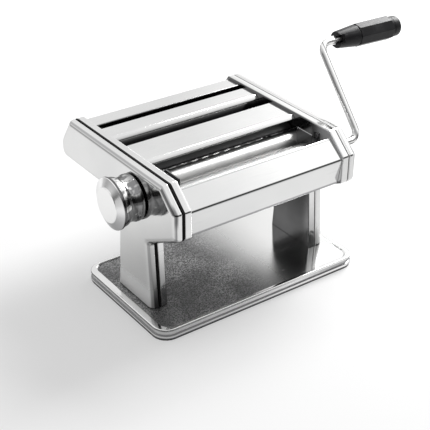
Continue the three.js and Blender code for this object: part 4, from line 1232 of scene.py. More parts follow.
def drawn(name: str, points: Sequence[Vector], filled: bool = False) -> bpy.types.Object:
    """Draws a line of edges by pulling one vertex from place to place.

    Args:
        name: The piece's name.
        points: The places, in millimetres.
        filled: Whether the line is closed and filled.

    Returns:
        The new object.
    """
    piece = started(name, bpy.ops.mesh.primitive_plane_add, size=0.001, location=points[0] * MM)
    with Bench(piece) as bench:
        bpy.ops.mesh.select_mode(type="VERT")
        bench.everything()
        bpy.ops.mesh.merge(type="CENTER")
        for here, there in zip(points, points[1:]):
            bpy.ops.mesh.extrude_vertices_move(TRANSFORM_OT_translate={"value": (there - here) * MM})
        if filled:
            bench.everything()
            bpy.ops.mesh.edge_face_add()
    return piece


def modified(piece: bpy.types.Object, kind: str, **settings: Any) -> None:
    """Adds a modifier and applies it.

    Args:
        piece: The object.
        kind: The modifier's type.
        settings: Its settings.
    """
    alone(piece)
    bpy.ops.object.modifier_add(type=kind)
    modifier = piece.modifiers[-1]
    for name, value in settings.items():
        setattr(modifier, name, value)
    bpy.ops.object.modifier_apply(modifier=modifier.name)


def carved(piece: bpy.types.Object, tool: bpy.types.Object, operation: Carving = Carving.DIFFERENCE) -> None:
    """Cuts a piece with a tool, or joins the tool to it, and takes the tool away.

    Args:
        piece: The object.
        tool: The closed mesh that cuts or joins it.
        operation: What is done.
    """
    modified(piece, "BOOLEAN", operation=operation.name, object=tool, solver="EXACT")
    spent = tool.data
    bpy.data.objects.remove(tool)
    bpy.data.meshes.remove(spent)


def drill(piece: bpy.types.Object, radius: float, start: Vector, end: Vector, sides: int = 32) -> None:
    """Cuts a round hole, or one with a few sides.

    Args:
        piece: The object.
        radius: The hole's radius, in millimetres.
        start: Where its axis starts.
        end: Where its axis ends.
        sides: Sides of the drill.
    """
    run = end - start
    tool = started("drill", bpy.ops.mesh.primitive_cylinder_add, vertices=sides, radius=radius * MM,
                   depth=run.length * MM, location=(start + end) / 2 * MM,
                   rotation=run.to_track_quat("Z", "Y").to_euler())
    carved(piece, tool)


def crank_socket(piece: bpy.types.Object, y: float, z: float) -> None:
    """Cuts the crank's six-sided socket into the right end of a roller or cutter on its axis."""
    start = Vector((L.drive_end - L.socket_depth, y, z))
    drill(piece, L.socket, start, Vector((L.drive_end + 1, y, z)), sides=6)


def turned(name: str, profile: Sequence[Place], y: float, z: float, steps: int = 64) -> bpy.types.Object:
    """Turns a closed piece about an X axis.

    Args:
        name: The piece's name.
        profile: Points of (x, radius) from axis to axis, in millimetres.
        y: The axis's place.
        z: The axis's height.
        steps: Steps of the turn.

    Returns:
        The new object.
    """
    piece = drawn(name, [Vector((x, y, z + radius)) for x, radius in profile])
    with Bench(piece) as bench:
        bench.everything()
        bench.spin(Vector((0, y, z)), Vector((1, 0, 0)), 360, steps)
        bench.weld()
    return piece


def copied(piece: bpy.types.Object, name: str, across: bool) -> bpy.types.Object:
    """Copies a piece with a mesh of its own.

    Args:
        piece: The object.
        name: The copy's name.
        across: Whether the copy is mirrored to the machine's other side.

    Returns:
        The copy.
    """
    twin = piece.copy()
    twin.data = piece.data.copy()
    twin.name = name
    twin.data.name = name
    bpy.context.collection.objects.link(twin)
    if across:
        settle(twin, Matrix.Scale(-1, 4, Vector((1, 0, 0))))
        with Bench(twin) as bench:
            bench.weld()
    return twin


def finished(piece: bpy.types.Object, body: str, finish: Finish, replaces: Sequence[str],
             angle: float = 32, even: bool = True) -> None:
    """Smooths, dresses and hands over a piece.

    Args:
        piece: The object.
        body: The body that it moves with.
        finish: Its finish.
        replaces: The nodes that it stands for.
        angle: Edges sharper than this many degrees stay sharp.
        even: Whether large faces keep their own direction.
    """
    alone(piece)
    bpy.ops.object.shade_smooth_by_angle(angle=math.radians(angle))
    if even:
        modified(piece, "WEIGHTED_NORMAL", keep_sharp=True, weight=80)
    piece.data.materials.clear()
    piece.data.materials.append(finish.material())
    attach(piece, body)
    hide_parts(*replaces)
    LOG.info("%s: %d faces, rides on %s", piece.name, len(piece.data.polygons), body)


# ---------------------------------------------------------------- side walls
@dataclass
class SideWalls:
    """Pressed covers of both side walls, outside and inside."""

    lower: float = 106.3
    front_lower: float = 103.3
    rear_chamfer: Place = (17.7, 26.0)
    column_front: Place = (-26.4, -32.0)
    column_rear: Place = (21.6, 29.4)
    shoulder: float = 80.0
    outer_fillet: float = 6.0
    inner_fillet: float = 1.6
    crank_hole: float = 5.5
    knob_hole: float = 5.0
    roller_bore: float = 8.7
    carriage_bore: float = 9.9
    driven_bore: float = 7.3
    mate_bore: float = 5.8
    corner_reach: float = 14.0
    rolled_rim: float = 1.2
    open_seam: float = 0.6
    tight_seam: float = 0.1
    below: float = -20.0
    rear_round: float = 22.0
    top_round: float = 3.0
    nose_round: float = 4.0
    front_round: float = 5.0
    wide_round: float = 15.0

    def corners(self) -> list[Corner]:
        """Corners of the side outline.

        Returns:
            Each corner's y, z and rounding, anticlockwise from the front of the column's foot.
        """
        rise = self.lower - L.foot

        def foot(top: float, bottom: float) -> float:
            """Where a column's edge runs on to, below the foot."""
            return bottom + (bottom - top) * (L.foot - self.below) / rise

        edge = L.head_top - self.rear_chamfer[1] - self.lower
        return [
            (foot(*self.column_front), self.below, 0),
            (foot(*self.column_rear), self.below, 0),
            (self.column_rear[0], self.lower, self.rear_round),
            (L.outer.high.y, self.lower, edge / 2),
            (L.outer.high.y, L.head_top - self.rear_chamfer[1], 2 * edge / 3),
            (L.outer.high.y - self.rear_chamfer[0], L.head_top, self.top_round),
            (L.outer.low.y + L.front_chamfer[0], L.head_top, self.top_round),
            (L.outer.low.y, L.head_top - L.front_chamfer[1], self.top_round),
            (L.outer.low.y, self.front_lower, self.nose_round),
            (self.column_front[0], self.shoulder, self.front_round),
        ]

    def blank(self, name: str, rim: float, face: float, fillet: float, steps: int) -> bpy.types.Object:
        """Presses one cover, without its holes, on the right side.

        Args:
            name: The piece's name.
            rim: Where the open rim stands, along X.
            face: Where the face stands.
            fillet: Rounding between the face and its walls.
            steps: Steps of that rounding.

        Returns:
            The cover as a closed wall of one sheet.
        """
        corners = self.corners()
        piece = drawn(name, [Vector((rim, y, z)) for y, z, _ in corners], filled=True)
        with Bench(piece) as bench:
            bench.everything()
            bench.extrude(Vector((face - rim, 0, 0)))
            bench.weld()
            wide = [i for i, corner in enumerate(corners) if corner[2] > fillet]
            tight = [i for i, corner in enumerate(corners) if 0 < corner[2] <= fillet]
            for i in wide:
                self._round_corner(bench, corners, i)
            bench.edges(lambda a, b: abs(a.x - face) < NEAR and abs(b.x - face) < NEAR)
            bench.bevel(fillet, steps)
            for i in tight:
                self._round_corner(bench, corners, i)
            bench.edges(lambda a, b: abs(a.x - rim) < NEAR and abs(b.x - rim) < NEAR)
            bench.bevel(self.rolled_rim, 3)
            bench.faces(lambda c, n: abs(c.x - rim) < NEAR and abs(n.x) > 0.9)
            bpy.ops.mesh.delete(type="FACE")
        modified(piece, "SOLIDIFY", thickness=L.sheet * MM, offset=-1, use_even_offset=True)
        with Bench(piece) as bench:
            bench.everything()
            bench.cut_level(L.foot, clear=True)
            bench.weld()
        return piece

    def _round_corner(self, bench: Bench, corners: Sequence[Corner], i: int) -> None:
        """Rounds one corner of the blank, from its rim to its face.

        Args:
            bench: The open piece.
            corners: All corners of the outline.
            i: Which of them is rounded.
        """
        y, z, radius = corners[i]
        here = Vector((y, z))
        back = (here - Vector(corners[i - 1][:2])).normalized()
        on = (Vector(corners[(i + 1) % len(corners)][:2]) - here).normalized()
        turn = abs(back.angle(on))
        mitre = (on - back).normalized()

        def on_mitre(a: Vector, b: Vector) -> bool:
            """Whether an edge lies on this corner's mitre."""
            steps = [Vector((p.y, p.z)) - here for p in (a, b)]
            return all(s.length < self.corner_reach and abs(s.cross(mitre)) < 2 * NEAR for s in steps)

        bench.edges(on_mitre)
        bench.bevel(radius * math.tan(turn / 2), 8 if radius > self.wide_round else 5)

    def outer(self, name: str, seam: float) -> bpy.types.Object:
        """An outer cover on the right side, without holes, its rim a seam's width off the plate."""
        return self.blank(name, L.plate_out + seam, L.cover_out, self.outer_fillet, 6)

    def inner(self, name: str, seam: float) -> bpy.types.Object:
        """An inner cover on the right side, with its holes.

        Args:
            name: The piece's name.
            seam: How far its rim stands off the side plate.

        Returns:
            The cover.
        """
        piece = self.blank(name, L.plate_in - seam, L.inner_wall, self.inner_fillet, 3)
        for y, z, radius in ((L.front_roller_y, L.roller_z, self.roller_bore),
                             (L.knob_y, L.roller_z, self.carriage_bore),
                             *((y, L.cutter_z, self.driven_bore) for y in L.driven),
                             *((y + L.cutter_spacing, L.cutter_z, self.mate_bore) for y in L.driven)):
            drill(piece, radius, Vector((L.inner_wall - 2, y, z)), Vector((L.inner_wall + 3, y, z)))
        return piece

    def build(self) -> None:
        """Makes and dresses the four covers."""
        outer = self.outer("right_outer_wall_cover", self.tight_seam)
        mould = self.outer("left_mould", self.open_seam)
        left = copied(mould, "left_outer_wall_cover", across=True)
        for y, z in ((L.front_roller_y, L.roller_z), *((y, L.cutter_z) for y in L.driven)):
            drill(outer, self.crank_hole, Vector((L.cover_out - 3, y, z)), Vector((L.cover_out + 2, y, z)))
        drill(left, self.knob_hole, Vector((-L.cover_out - 2, L.knob_y, L.roller_z)),
              Vector((-L.cover_out + 3, L.knob_y, L.roller_z)))
        inner = self.inner("right_inner_wall_cover", self.tight_seam)
        inner_mould = self.inner("left_inner_mould", self.open_seam)
        inner_left = copied(inner_mould, "left_inner_wall_cover", across=True)
        for spent in (mould, inner_mould):
            bpy.data.objects.remove(spent)
        finished(outer, "frame", COVER, ["right_outer_cover"])
        finished(left, "frame", COVER, ["left_outer_cover"])
        finished(inner, "frame", LINER, ["right_inner_cover"])
        finished(inner_left, "frame", LINER, ["left_inner_cover"])


# ---------------------------------------------------------------- base
@dataclass
class Base:
    """Pressed base: two beads with a groove between them, and a sunk middle."""

    corner: float = 15.0
    lower_bead: float = 4.8
    upper_bead: float = 9.4
    groove: float = 1.6
    groove_edge: float = 0.5
    side_border: float = 6.5
    end_border: float = 3.5
    slope: float = 0.7
    rim_round: float = 1.2
    edge_round: float = 0.35
    edge_angle: float = 32.0
    arc_slack: float = 0.3
    edge_slack: float = 0.05

    def build(self) -> None:
        """Makes and dresses the base's shell."""
        width, depth, high = L.base.high - L.base.low
        shell = started("pressed_base", bpy.ops.mesh.primitive_cube_add, size=1,
                        location=at(*L.base.middle), scale=at(width, depth, high))
        top = L.base.high.z
        with Bench(shell) as bench:
            bench.edges(lambda a, b: abs(a.z - b.z) > high / 2)
            bench.bevel(self.corner, 8)
            for level in (self.lower_bead, self.upper_bead):
                bench.everything()
                bench.cut_level(level)
            middle = (self.lower_bead + self.upper_bead) / 2
            bench.faces(lambda c, n: abs(n.z) < 0.1 and abs(c.z - middle) < 0.5)
            bpy.ops.mesh.inset(thickness=self.groove_edge * MM, depth=0, use_boundary=True)
            bpy.ops.transform.shrink_fatten(value=-self.groove * MM)
            bench.faces(lambda c, n: n.z > 0.9 and c.z > top - NEAR)
            bpy.ops.mesh.inset(thickness=self.end_border * MM, depth=0)
            factor = (width - 2 * self.side_border) / (width - 2 * self.end_border)
            bench.scale((factor, 1, 1), Vector((0, 0, top)))
            bpy.ops.mesh.inset(thickness=self.slope * MM, depth=-L.base_recess * MM)
            bench.edges(lambda a, b: min(a.z, b.z) > top - NEAR
                        and max(abs(a.x), abs(b.x)) > width / 2 - self.corner - 1
                        and all(self._on_rim(p) for p in (a, b)))
            bench.bevel(self.rim_round, 3)
            bench.faces(lambda c, n: n.z < -0.9 and c.z < L.base.low.z + NEAR)
            bpy.ops.mesh.delete(type="FACE")
        modified(shell, "BEVEL", width=self.edge_round * MM, segments=2, limit_method="ANGLE",
                 angle_limit=math.radians(self.edge_angle))
        modified(shell, "SOLIDIFY", thickness=L.sheet * MM, offset=-1, use_even_offset=True)
        finished(shell, "frame", SUNK, ["base_shell"])

    def _on_rim(self, p: Vector) -> bool:
        """Whether a place stands on the base's outer edge.

        Args:
            p: The place, in millimetres.

        Returns:
            True on the edge.
        """
        over_x = abs(p.x) - (L.base.high.x - self.corner)
        over_y = abs(p.y) - (L.base.high.y - self.corner)
        if over_x > 0 and over_y > 0:
            return math.hypot(over_x, over_y) > self.corner - self.arc_slack
        return max(over_x, over_y) > self.corner - self.edge_slack


# ---------------------------------------------------------------- bars and slats
@dataclass
class BentSheet:
    """A sheet bent along lines parallel to the rollers, between the side walls."""

    name: str
    node: str
    line: Sequence[Place]
    bend: float = 0.9
    ridge: int = 0
    ridge_bend: float = 2.2

    def build(self, finish: Finish) -> None:
        """Makes and dresses the sheet.

        Args:
            finish: Its finish.
        """
        piece = drawn(self.name, [Vector((-L.body_end, y, z)) for y, z in self.line])
        bends = {i: Vector(p) for i, p in enumerate(self.line) if 0 < i < len(self.line) - 1}
        wide = [bends.pop(self.ridge)] if self.ridge else []
        with Bench(piece) as bench:
            for places, bend in ((wide, self.ridge_bend), (list(bends.values()), self.bend)):
                bench.vertices(lambda p: any((Vector((p.y, p.z)) - q).length < NEAR for q in places))
                bench.bevel(bend, 4, corners=True)
            bench.everything()
            bench.extrude(Vector((2 * L.body_end, 0, 0)))
            bench.everything()
            bpy.ops.mesh.normals_make_consistent(inside=False)
        # The thickness goes to the left of the line, whichever way the faces came out.
        (y0, z0), (y1, z1) = self.line[:2]
        middle = Vector((0, (y0 + y1) / 2, (z0 + z1) / 2)) * MM
        left = Vector((0, -(z1 - z0), y1 - y0)).normalized()
        nearest = min(piece.data.polygons, key=lambda f: (f.center - middle).length)
        inward = 1 if nearest.normal.dot(left) > 0 else -1
        modified(piece, "SOLIDIFY", thickness=L.sheet * MM, offset=inward, use_even_offset=True)
        with Bench(piece) as bench:
            bench.weld()
        finished(piece, "frame", finish, [self.node])


@dataclass
class Deck:
    """The bars and slats that close the head between its side walls."""

    walls: SideWalls
    slat_drop: float = 3.0
    flange_foot: float = 132.0

    def sheets(self) -> list[BentSheet]:
        """The four bent sheets, with the lines that they follow.

        Returns:
            The sheets.
        """
        walls = self.walls
        top = L.head_top - self.slat_drop
        y, z = L.bar_nose
        lip = L.rear_roller_y + 6.1
        back = L.outer.high.y - 2.4
        chamfer = L.head_top - walls.rear_chamfer[1]
        return [
            BentSheet("front_sloped_bar", "front_bar", [
                (y + 19, z + 6.1), (y + 20.2, z + 13.5), L.bar_top, (y, z),
                (y + 4.6, walls.front_lower - 2.3), (y + 8.6, walls.front_lower - 1.5)], ridge=3),
            BentSheet("front_top_slat", "front_slat", [
                (L.wide_y - 6, self.flange_foot), (L.wide_y - 9.5, top), (lip + 1.8, top),
                (lip - 2.2, top - 3.5), (lip, L.roller_z + L.roller_radius - 0.2)]),
            BentSheet("middle_top_slat", "middle_slat", [
                (L.narrow_y - 3, self.flange_foot), (L.narrow_y - 4.3, top), (L.wide_y + 14, top),
                (L.wide_y + 10.4, top - 3.5), (L.wide_y + 6.4, self.flange_foot)]),
            BentSheet("rear_bent_bar", "rear_bar", [
                (L.outer.high.y - 8, walls.lower + 2.7), (back, walls.lower + 5.2), (back, chamfer - 1),
                (L.outer.high.y - walls.rear_chamfer[0] - 1.6, top), (L.narrow_y + 4, top),
                (L.narrow_y + 3.1, self.flange_foot)]),
        ]

    def build(self) -> None:
        """Makes and dresses the sheets."""
        for sheet in self.sheets():
            sheet.build({"front_bar": BAR, "rear_bar": REAR}.get(sheet.node, SLAT))


# ---------------------------------------------------------------- rollers and cutters
@dataclass
class SmoothRollers:
    """The pair of smooth rollers."""

    rear_end: float = 96.2
    bore: float = 5.9
    edge: float = 0.5
    front_edge: float = 0.4
    rear_edge: float = 0.3

    def barrel(self, left: float, right: float, edge: float) -> list[Place]:
        """Profile of a roller between the ends of its journals.

        Args:
            left: The left journal's end.
            right: The right journal's end.
            edge: Chamfer of the journals.

        Returns:
            Its places of x and radius.
        """
        end, body, journal = L.barrel_end, L.roller_radius, L.journal
        return [
            (left, journal - edge), (left + edge, journal), (-end, journal), (-end, body - self.edge),
            (-end + self.edge, body), (end - self.edge, body), (end, body - self.edge), (end, journal),
            (right - edge, journal), (right, journal - edge)]

    def front(self) -> bpy.types.Object:
        """The front roller, with the crank's socket in its right journal.

        Returns:
            The new object.
        """
        outline = self.barrel(-L.journal_end, L.drive_end, self.front_edge)
        piece = turned("front_smooth_roller", [(-L.journal_end, 0), *outline, (L.drive_end, 0)],
                       L.front_roller_y, L.roller_z)
        crank_socket(piece, L.front_roller_y, L.roller_z)
        return piece

    def rear(self) -> bpy.types.Object:
        """The rear roller, hollow for the adjuster's shaft.

        Returns:
            The new object.
        """
        left = (-self.rear_end, self.bore)
        outline = self.barrel(-self.rear_end, self.rear_end, self.rear_edge)
        return turned("rear_smooth_roller", [left, *outline, (self.rear_end, self.bore), left],
                      L.rear_roller_y, L.roller_z)

    def build(self) -> None:
        """Makes and dresses both rollers."""
        finished(self.front(), "front_roller", ALLOY, ["front_roller"])
        finished(self.rear(), "rear_roller", ALLOY, ["rear_roller"])


@dataclass
class Cutters:
    """The grooved cutters under the slots, two to a pair."""

    wide: float = 6.5
    narrow: float = 4.0
    reach: float = 75.0
    root_play: float = 0.4
    driven_journal: float = 6.0
    mate_journal: float = 4.5
    steps: int = 28

    def ring_centres(self, noodle: float, shifted: bool) -> list[float]:
        """Where a cutter's rings stand.

        Args:
            noodle: Width of a ring.
            shifted: Whether the rings stand beside the middle, not on it.

        Returns:
            Their places along X.
        """
        pitch = 2 * noodle
        most = math.floor((self.reach - noodle / 2 - (pitch / 2 if shifted else 0)) / pitch)
        count = 2 * most + 2 if shifted else 2 * most + 1
        return [(i - (count - 1) / 2) * pitch for i in range(count)]

    def cutter(self, name: str, noodle: float, y: float, driven: bool) -> bpy.types.Object:
        """One cutter.

        Args:
            name: The piece's name.
            noodle: Width of its rings.
            y: Its axis.
            driven: Whether the crank fits its right journal.

        Returns:
            The new object.
        """
        end, tip = L.barrel_end, L.cutter_radius
        floor = L.cutter_spacing - tip - self.root_play
        half = (noodle - L.gap) / 2
        profile: list[Place] = [(-L.journal_end, 0), (-L.journal_end, self.mate_journal),
                                (-end, self.mate_journal), (-end, floor)]
        for x in self.ring_centres(noodle, not driven):
            profile += [(x - half, floor), (x - half, tip), (x + half, tip), (x + half, floor)]
        journal = self.driven_journal if driven else self.mate_journal
        last = L.drive_end if driven else L.journal_end
        profile += [(end, floor), (end, journal), (last, journal), (last, 0)]
        piece = turned(name, profile, y, L.cutter_z, self.steps)
        if driven:
            crank_socket(piece, y, L.cutter_z)
        return piece

    def build(self) -> None:
        """Makes and dresses the four cutters."""
        for pair, noodle, y in (("wide", self.wide, L.wide_y), ("narrow", self.narrow, L.narrow_y)):
            for place, way, driven in (("front", -1, True), ("rear", 1, False)):
                piece = self.cutter(f"{pair}_grooved_{place}", noodle, y + way * L.cutter_spacing / 2, driven)
                node = f"{pair}_cutter_{place}"
                finished(piece, node, ALLOY, [node], even=False)


# ---------------------------------------------------------------- knob
@dataclass
class Knob:
    """The knob that sets the rollers' gap: a waisted cup and its bevelled face."""

    rear: float = 22.2
    waist: float = 21.0
    rim: float = 24.6
    face: float = 16.2
    rim_depth: float = 2.3
    wall: float = 3.5
    side: float = 2.5
    screw_bore: float = 4.2
    pin_bore: float = 1.8
    pin_out: float = 15.0
    waist_run: Place = (3.0, 4.0)
    flare_run: Place = (11.0, 4.5)
    flare_lip: float = 1.6
    steps: int = 96
    parts: ClassVar[Sequence[float]] = (0, 0.2, 0.4, 0.6, 0.8, 1)

    def cup(self) -> bpy.types.Object:
        """The knob's waisted body.

        Returns:
            The new object.
        """
        back, front = L.cup.high.x, L.cup.low.x
        inner = self.waist - self.side
        narrowing = self.rear - self.waist
        widening = self.rim - self.flare_lip - self.waist
        (run, run_length), (flare, flare_length) = self.waist_run, self.flare_run
        waist = [(back - run - run_length * t, self.rear - narrowing * (1 - math.cos(math.pi * t)) / 2)
                 for t in self.parts]
        mouth = [(back - flare - flare_length * t, self.waist + widening * t * t * (3 - 2 * t))
                 for t in self.parts]
        piece = turned("knob_waisted_cup", [
            (back, 0), (back, self.rear - 0.6), (back - 0.2, self.rear - 0.2), (back - 0.6, self.rear),
            *waist, *mouth, (front + 1, self.rim - 1), (front + 0.3, self.rim - 1.1), (front, self.rim - 1.4),
            (front, inner), (back - self.wall, inner), (back - self.wall, 0)],
            L.knob_y, L.roller_z, self.steps)
        for radius, out, sides in ((self.screw_bore, 0, 24), (self.pin_bore, self.pin_out, 16)):
            y = L.knob_y + out
            drill(piece, radius, Vector((back - 10, y, L.roller_z)), Vector((back + 1, y, L.roller_z)), sides)
        return piece

    def front(self) -> bpy.types.Object:
        """The knob's bevelled face, with the spigot that holds it in the cup.

        Returns:
            The new object.
        """
        seat = L.cup.low.x - L.gap
        rim = seat - self.rim_depth
        front = L.span("knob_face").low.x
        spigot = self.waist - self.side - L.gap
        return turned("knob_bevelled_face", [
            (rim, 0), (rim, spigot - 1.5), (seat + 3, spigot - 1.5), (seat + 3, spigot), (seat, spigot),
            (seat, self.rim - 0.7), (seat - 0.2, self.rim - 0.2), (seat - 0.5, self.rim), (rim, self.rim),
            (rim - 0.35, self.rim - 0.25), (rim - 0.6, self.rim - 0.8), (front + 0.8, self.face + 1),
            (front + 0.25, self.face + 0.5), (front, self.face), (front, 0)],
            L.knob_y, L.roller_z, self.steps)

    def build(self) -> None:
        """Makes and dresses the knob."""
        finished(self.cup(), "knob", KNOB_STEEL, ["knob_body"], even=False)
        finished(self.front(), "knob", KNOB_FACE, ["knob_face"])


# ---------------------------------------------------------------- crank
@dataclass
class Crank:
    """The bent rod with its hexagonal plug, and the grip that turns on it."""

    high: Vector
    grip_axis: Vector
    bend: float = 11.0
    bend_steps: int = 12
    sides: int = 24
    start: float = 20.6
    cone: float = 26.2
    tip: float = 8.7
    shoulder: float = 11.4
    length: float = 71.0
    corner: float = 12.1
    end_corner: float = 12.5
    turned_by: float = 10.4
    cap: float = 10.9
    cap_length: float = 12.0
    pocket: float = 3.0
    notch: Corner = (8.0, 40.0, 9.0)
    notch_turned: float = 22.0
    side_round: float = 0.35
    end_round: float = 0.7
    washer_bore: float = 6.5

    @classmethod
    def on_joint(cls, record: dict[str, Any]) -> Crank:
        """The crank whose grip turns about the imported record's joint."""
        joint = next(j for j in record["behaviour"]["joints"] if j["name"] == "grip_spin")
        return cls(Vector(joint["pos_m"]) / MM, Vector(joint["axis"]).normalized())

    @property
    def low(self) -> Vector:
        """The elbow on the rollers' side."""
        return Vector((self.high.x, L.front_roller_y, L.roller_z))

    def rod(self) -> bpy.types.Object:
        """The rod: straights pulled from a ring, and bends spun from it.

        Returns:
            The new object.
        """
        start = Vector((L.drive_end + 1, L.front_roller_y, L.roller_z))
        piece = started("bent_crank_rod", bpy.ops.mesh.primitive_circle_add, vertices=self.sides,
                        radius=L.rod * MM, fill_type="NGON", location=start * MM,
                        rotation=(0, math.pi / 2, 0))
        ends = [self.low, self.high, self.high + self.grip_axis * (self.start + self.length - 1)]
        here, way = start, Vector((1, 0, 0))
        with Bench(piece) as bench:
            bench.everything()
            for corner, after in zip(ends, ends[1:]):
                on = (after - corner).normalized()
                turn = way.angle(on)
                reach = self.bend * math.tan(turn / 2)
                bench.extrude(corner - way * reach - here)
                side = (on - way * way.dot(on)).normalized()
                centre = corner - way * reach + side * self.bend
                self._spin_end(bench, corner - way * reach, centre, way.cross(on).normalized(),
                               math.degrees(turn), corner + on * reach)
                here, way = corner + on * reach, on
            bench.extrude(ends[-1] - here)
            bench.weld()
        plug = started("plug", bpy.ops.mesh.primitive_cylinder_add, vertices=6, radius=L.rod * MM,
                       depth=(L.socket_depth + 3) * MM,
                       location=at(L.drive_end + 2.5 - L.socket_depth / 2, L.front_roller_y, L.roller_z),
                       rotation=(0, math.pi / 2, 0))
        carved(piece, plug, Carving.UNION)
        return piece

    def _spin_end(self, bench: Bench, here: Vector, centre: Vector, axis: Vector, degrees: float,
                  there: Vector) -> None:
        """Spins the picked end of the rod through a bend.

        Args:
            bench: The open piece.
            here: Where the end stands.
            centre: The bend's centre.
            axis: The bend's axis.
            degrees: The bend's angle.
            there: Where the end must arrive.
        """
        bench.spin(centre, axis, -degrees, self.bend_steps)
        mesh = bmesh.from_edit_mesh(bench.piece.data)
        picked = [v.co / MM for v in mesh.verts if v.select]
        middle = sum(picked, Vector()) / max(len(picked), 1)
        if (middle - there).length > 0.5:
            LOG.warning("a bend from %s arrived at %s, not %s", here, middle, there)

    def onto_axis(self) -> Matrix:
        """The matrix from a piece built along +X at the origin to the grip's axis."""
        turn = Matrix.Rotation(math.atan2(-self.grip_axis.z, self.grip_axis.x), 4, "Y")
        return Matrix.Translation(self.high * MM) @ turn

    def grip(self) -> bpy.types.Object:
        """The grip: a notched cone that runs into an eight-sided body.

        Returns:
            The new object.
        """
        end = self.start + self.length
        wide = self.start + self.cone
        piece = turned("eight_sided_grip", [
            (self.start, 0), (self.start, self.tip - 1.4), (self.start + 0.3, self.tip - 0.6),
            (self.start + 1.2, self.tip), (wide - 1.2, self.shoulder - 0.15), (wide, self.shoulder - 0.7),
            (wide + 0.4, self.shoulder - 1.2), (wide + 2, self.shoulder - 1.2), (wide + 2, 0)], 0, 0, 48)
        sleeve = started("sleeve", bpy.ops.mesh.primitive_cylinder_add, vertices=8,
                         radius=self.corner * MM, depth=(end - wide - 0.2) * MM,
                         location=at((end + wide + 0.2) / 2, 0, 0), rotation=(0, math.pi / 2, 0))
        settle(sleeve, Matrix.Rotation(math.radians(-self.turned_by), 4, "X"))
        with Bench(sleeve) as bench:
            bench.vertices(lambda p: p.x > end - NEAR)
            wider = self.end_corner / self.corner
            bench.scale((1, wider, wider), Vector((end, 0, 0)))
            bench.edges(lambda a, b: abs(a.x - b.x) > 5)
            bench.bevel(self.side_round, 2)
            bench.edges(lambda a, b: abs(a.x - b.x) < NEAR)
            bench.bevel(self.end_round, 2)
        carved(piece, sleeve, Carving.UNION)
        notch = started("notch", bpy.ops.mesh.primitive_cube_add, size=1,
                        location=at(self.start + 2, 0, 0), scale=at(*self.notch))
        settle(notch, Matrix.Rotation(math.radians(-self.notch_turned), 4, "X"))
        carved(piece, notch)
        for radius, begin in ((L.rod + L.gap, self.start - 1), (self.washer_bore, end - self.pocket)):
            drill(piece, radius, Vector((begin, 0, 0)), Vector((end + 1, 0, 0)), self.sides)
        settle(piece, self.onto_axis())
        return piece

    def end_cap(self) -> bpy.types.Object:
        """The round cap that closes the grip's outer end.

        Returns:
            The new object.
        """
        begin = self.start + self.length + L.gap
        far = begin + self.cap_length
        piece = turned("grip_round_cap", [
            (begin, 0), (begin, self.cap - 0.3), (begin + 0.3, self.cap), (begin + 2.2, self.cap),
            (begin + 2.6, self.cap - 0.5), (begin + 3.0, self.cap - 0.1), (far - 2.6, self.cap - 0.4),
            (far - 1.4, self.cap - 0.9), (far - 0.5, self.cap - 1.9), (far, self.cap - 3.4),
            (far - 0.4, self.cap - 4.2), (far - 0.4, 0)], 0, 0, 64)
        settle(piece, self.onto_axis())
        return piece

    def build(self) -> None:
        """Makes and dresses the crank and its grip."""
        finished(self.rod(), "crank", BRIGHT_ROD, ["crank_rod"], angle=45, even=False)
        finished(self.grip(), "grip", GRIP_PLASTIC, ["crank_grip"])
        finished(self.end_cap(), "grip", GRIP_PLASTIC, ["grip_cap"])


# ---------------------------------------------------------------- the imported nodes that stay
@dataclass
class CarriedNodes:
    """Nodes whose shape is right as packed and only take a finish."""

    # The right side plate takes the painted light of its edge.
    special: dict[str, Finish] = field(default_factory=lambda: {
        "right_side_plate": LIT_PLATE_EDGE, "left_dough_guide": GUIDE, "right_dough_guide": GUIDE})

    def build(self, frame: dict[str, Any]) -> None:
        """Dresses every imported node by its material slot.

        Args:
            frame: What the frame's loader gave.
        """
        slots = {part["node"]: Slot(part["material_slot"]) for part in frame["record"]["subparts"]}
        for name, node in frame["nodes"].items():
            finish = self.special.get(name, CARRIED[slots[name]])
            for slot in node.material_slots:
                slot.material = finish.material()
            if not node.material_slots:
                node.data.materials.append(finish.material())
        LOG.info("%d packed nodes dressed", len(frame["nodes"]))


# ---------------------------------------------------------------- studio
@dataclass(frozen=True)
class Patch:
    """A soft round painted shadow on the floor that only metal mirrors, in metres."""

    x: float
    y: float
    rate: float
    share: float

    def on(self, x: Signal, y: Signal) -> Signal:
        """The painted shadow's depth at a spot of the floor."""
        right, back = x - self.x, y - self.y
        return (right * right + back * back).fading(self.rate) * self.share


@dataclass(frozen=True)
class Slope:
    """A smooth step along one way across the floor or the room."""

    way: Place
    rise: Stretch
    share: float

    def on(self, x: Signal, y: Signal) -> Signal:
        """The step's height at a place or in a direction."""
        return (x * self.way[0] + y * self.way[1]).eased(*self.rise) * self.share


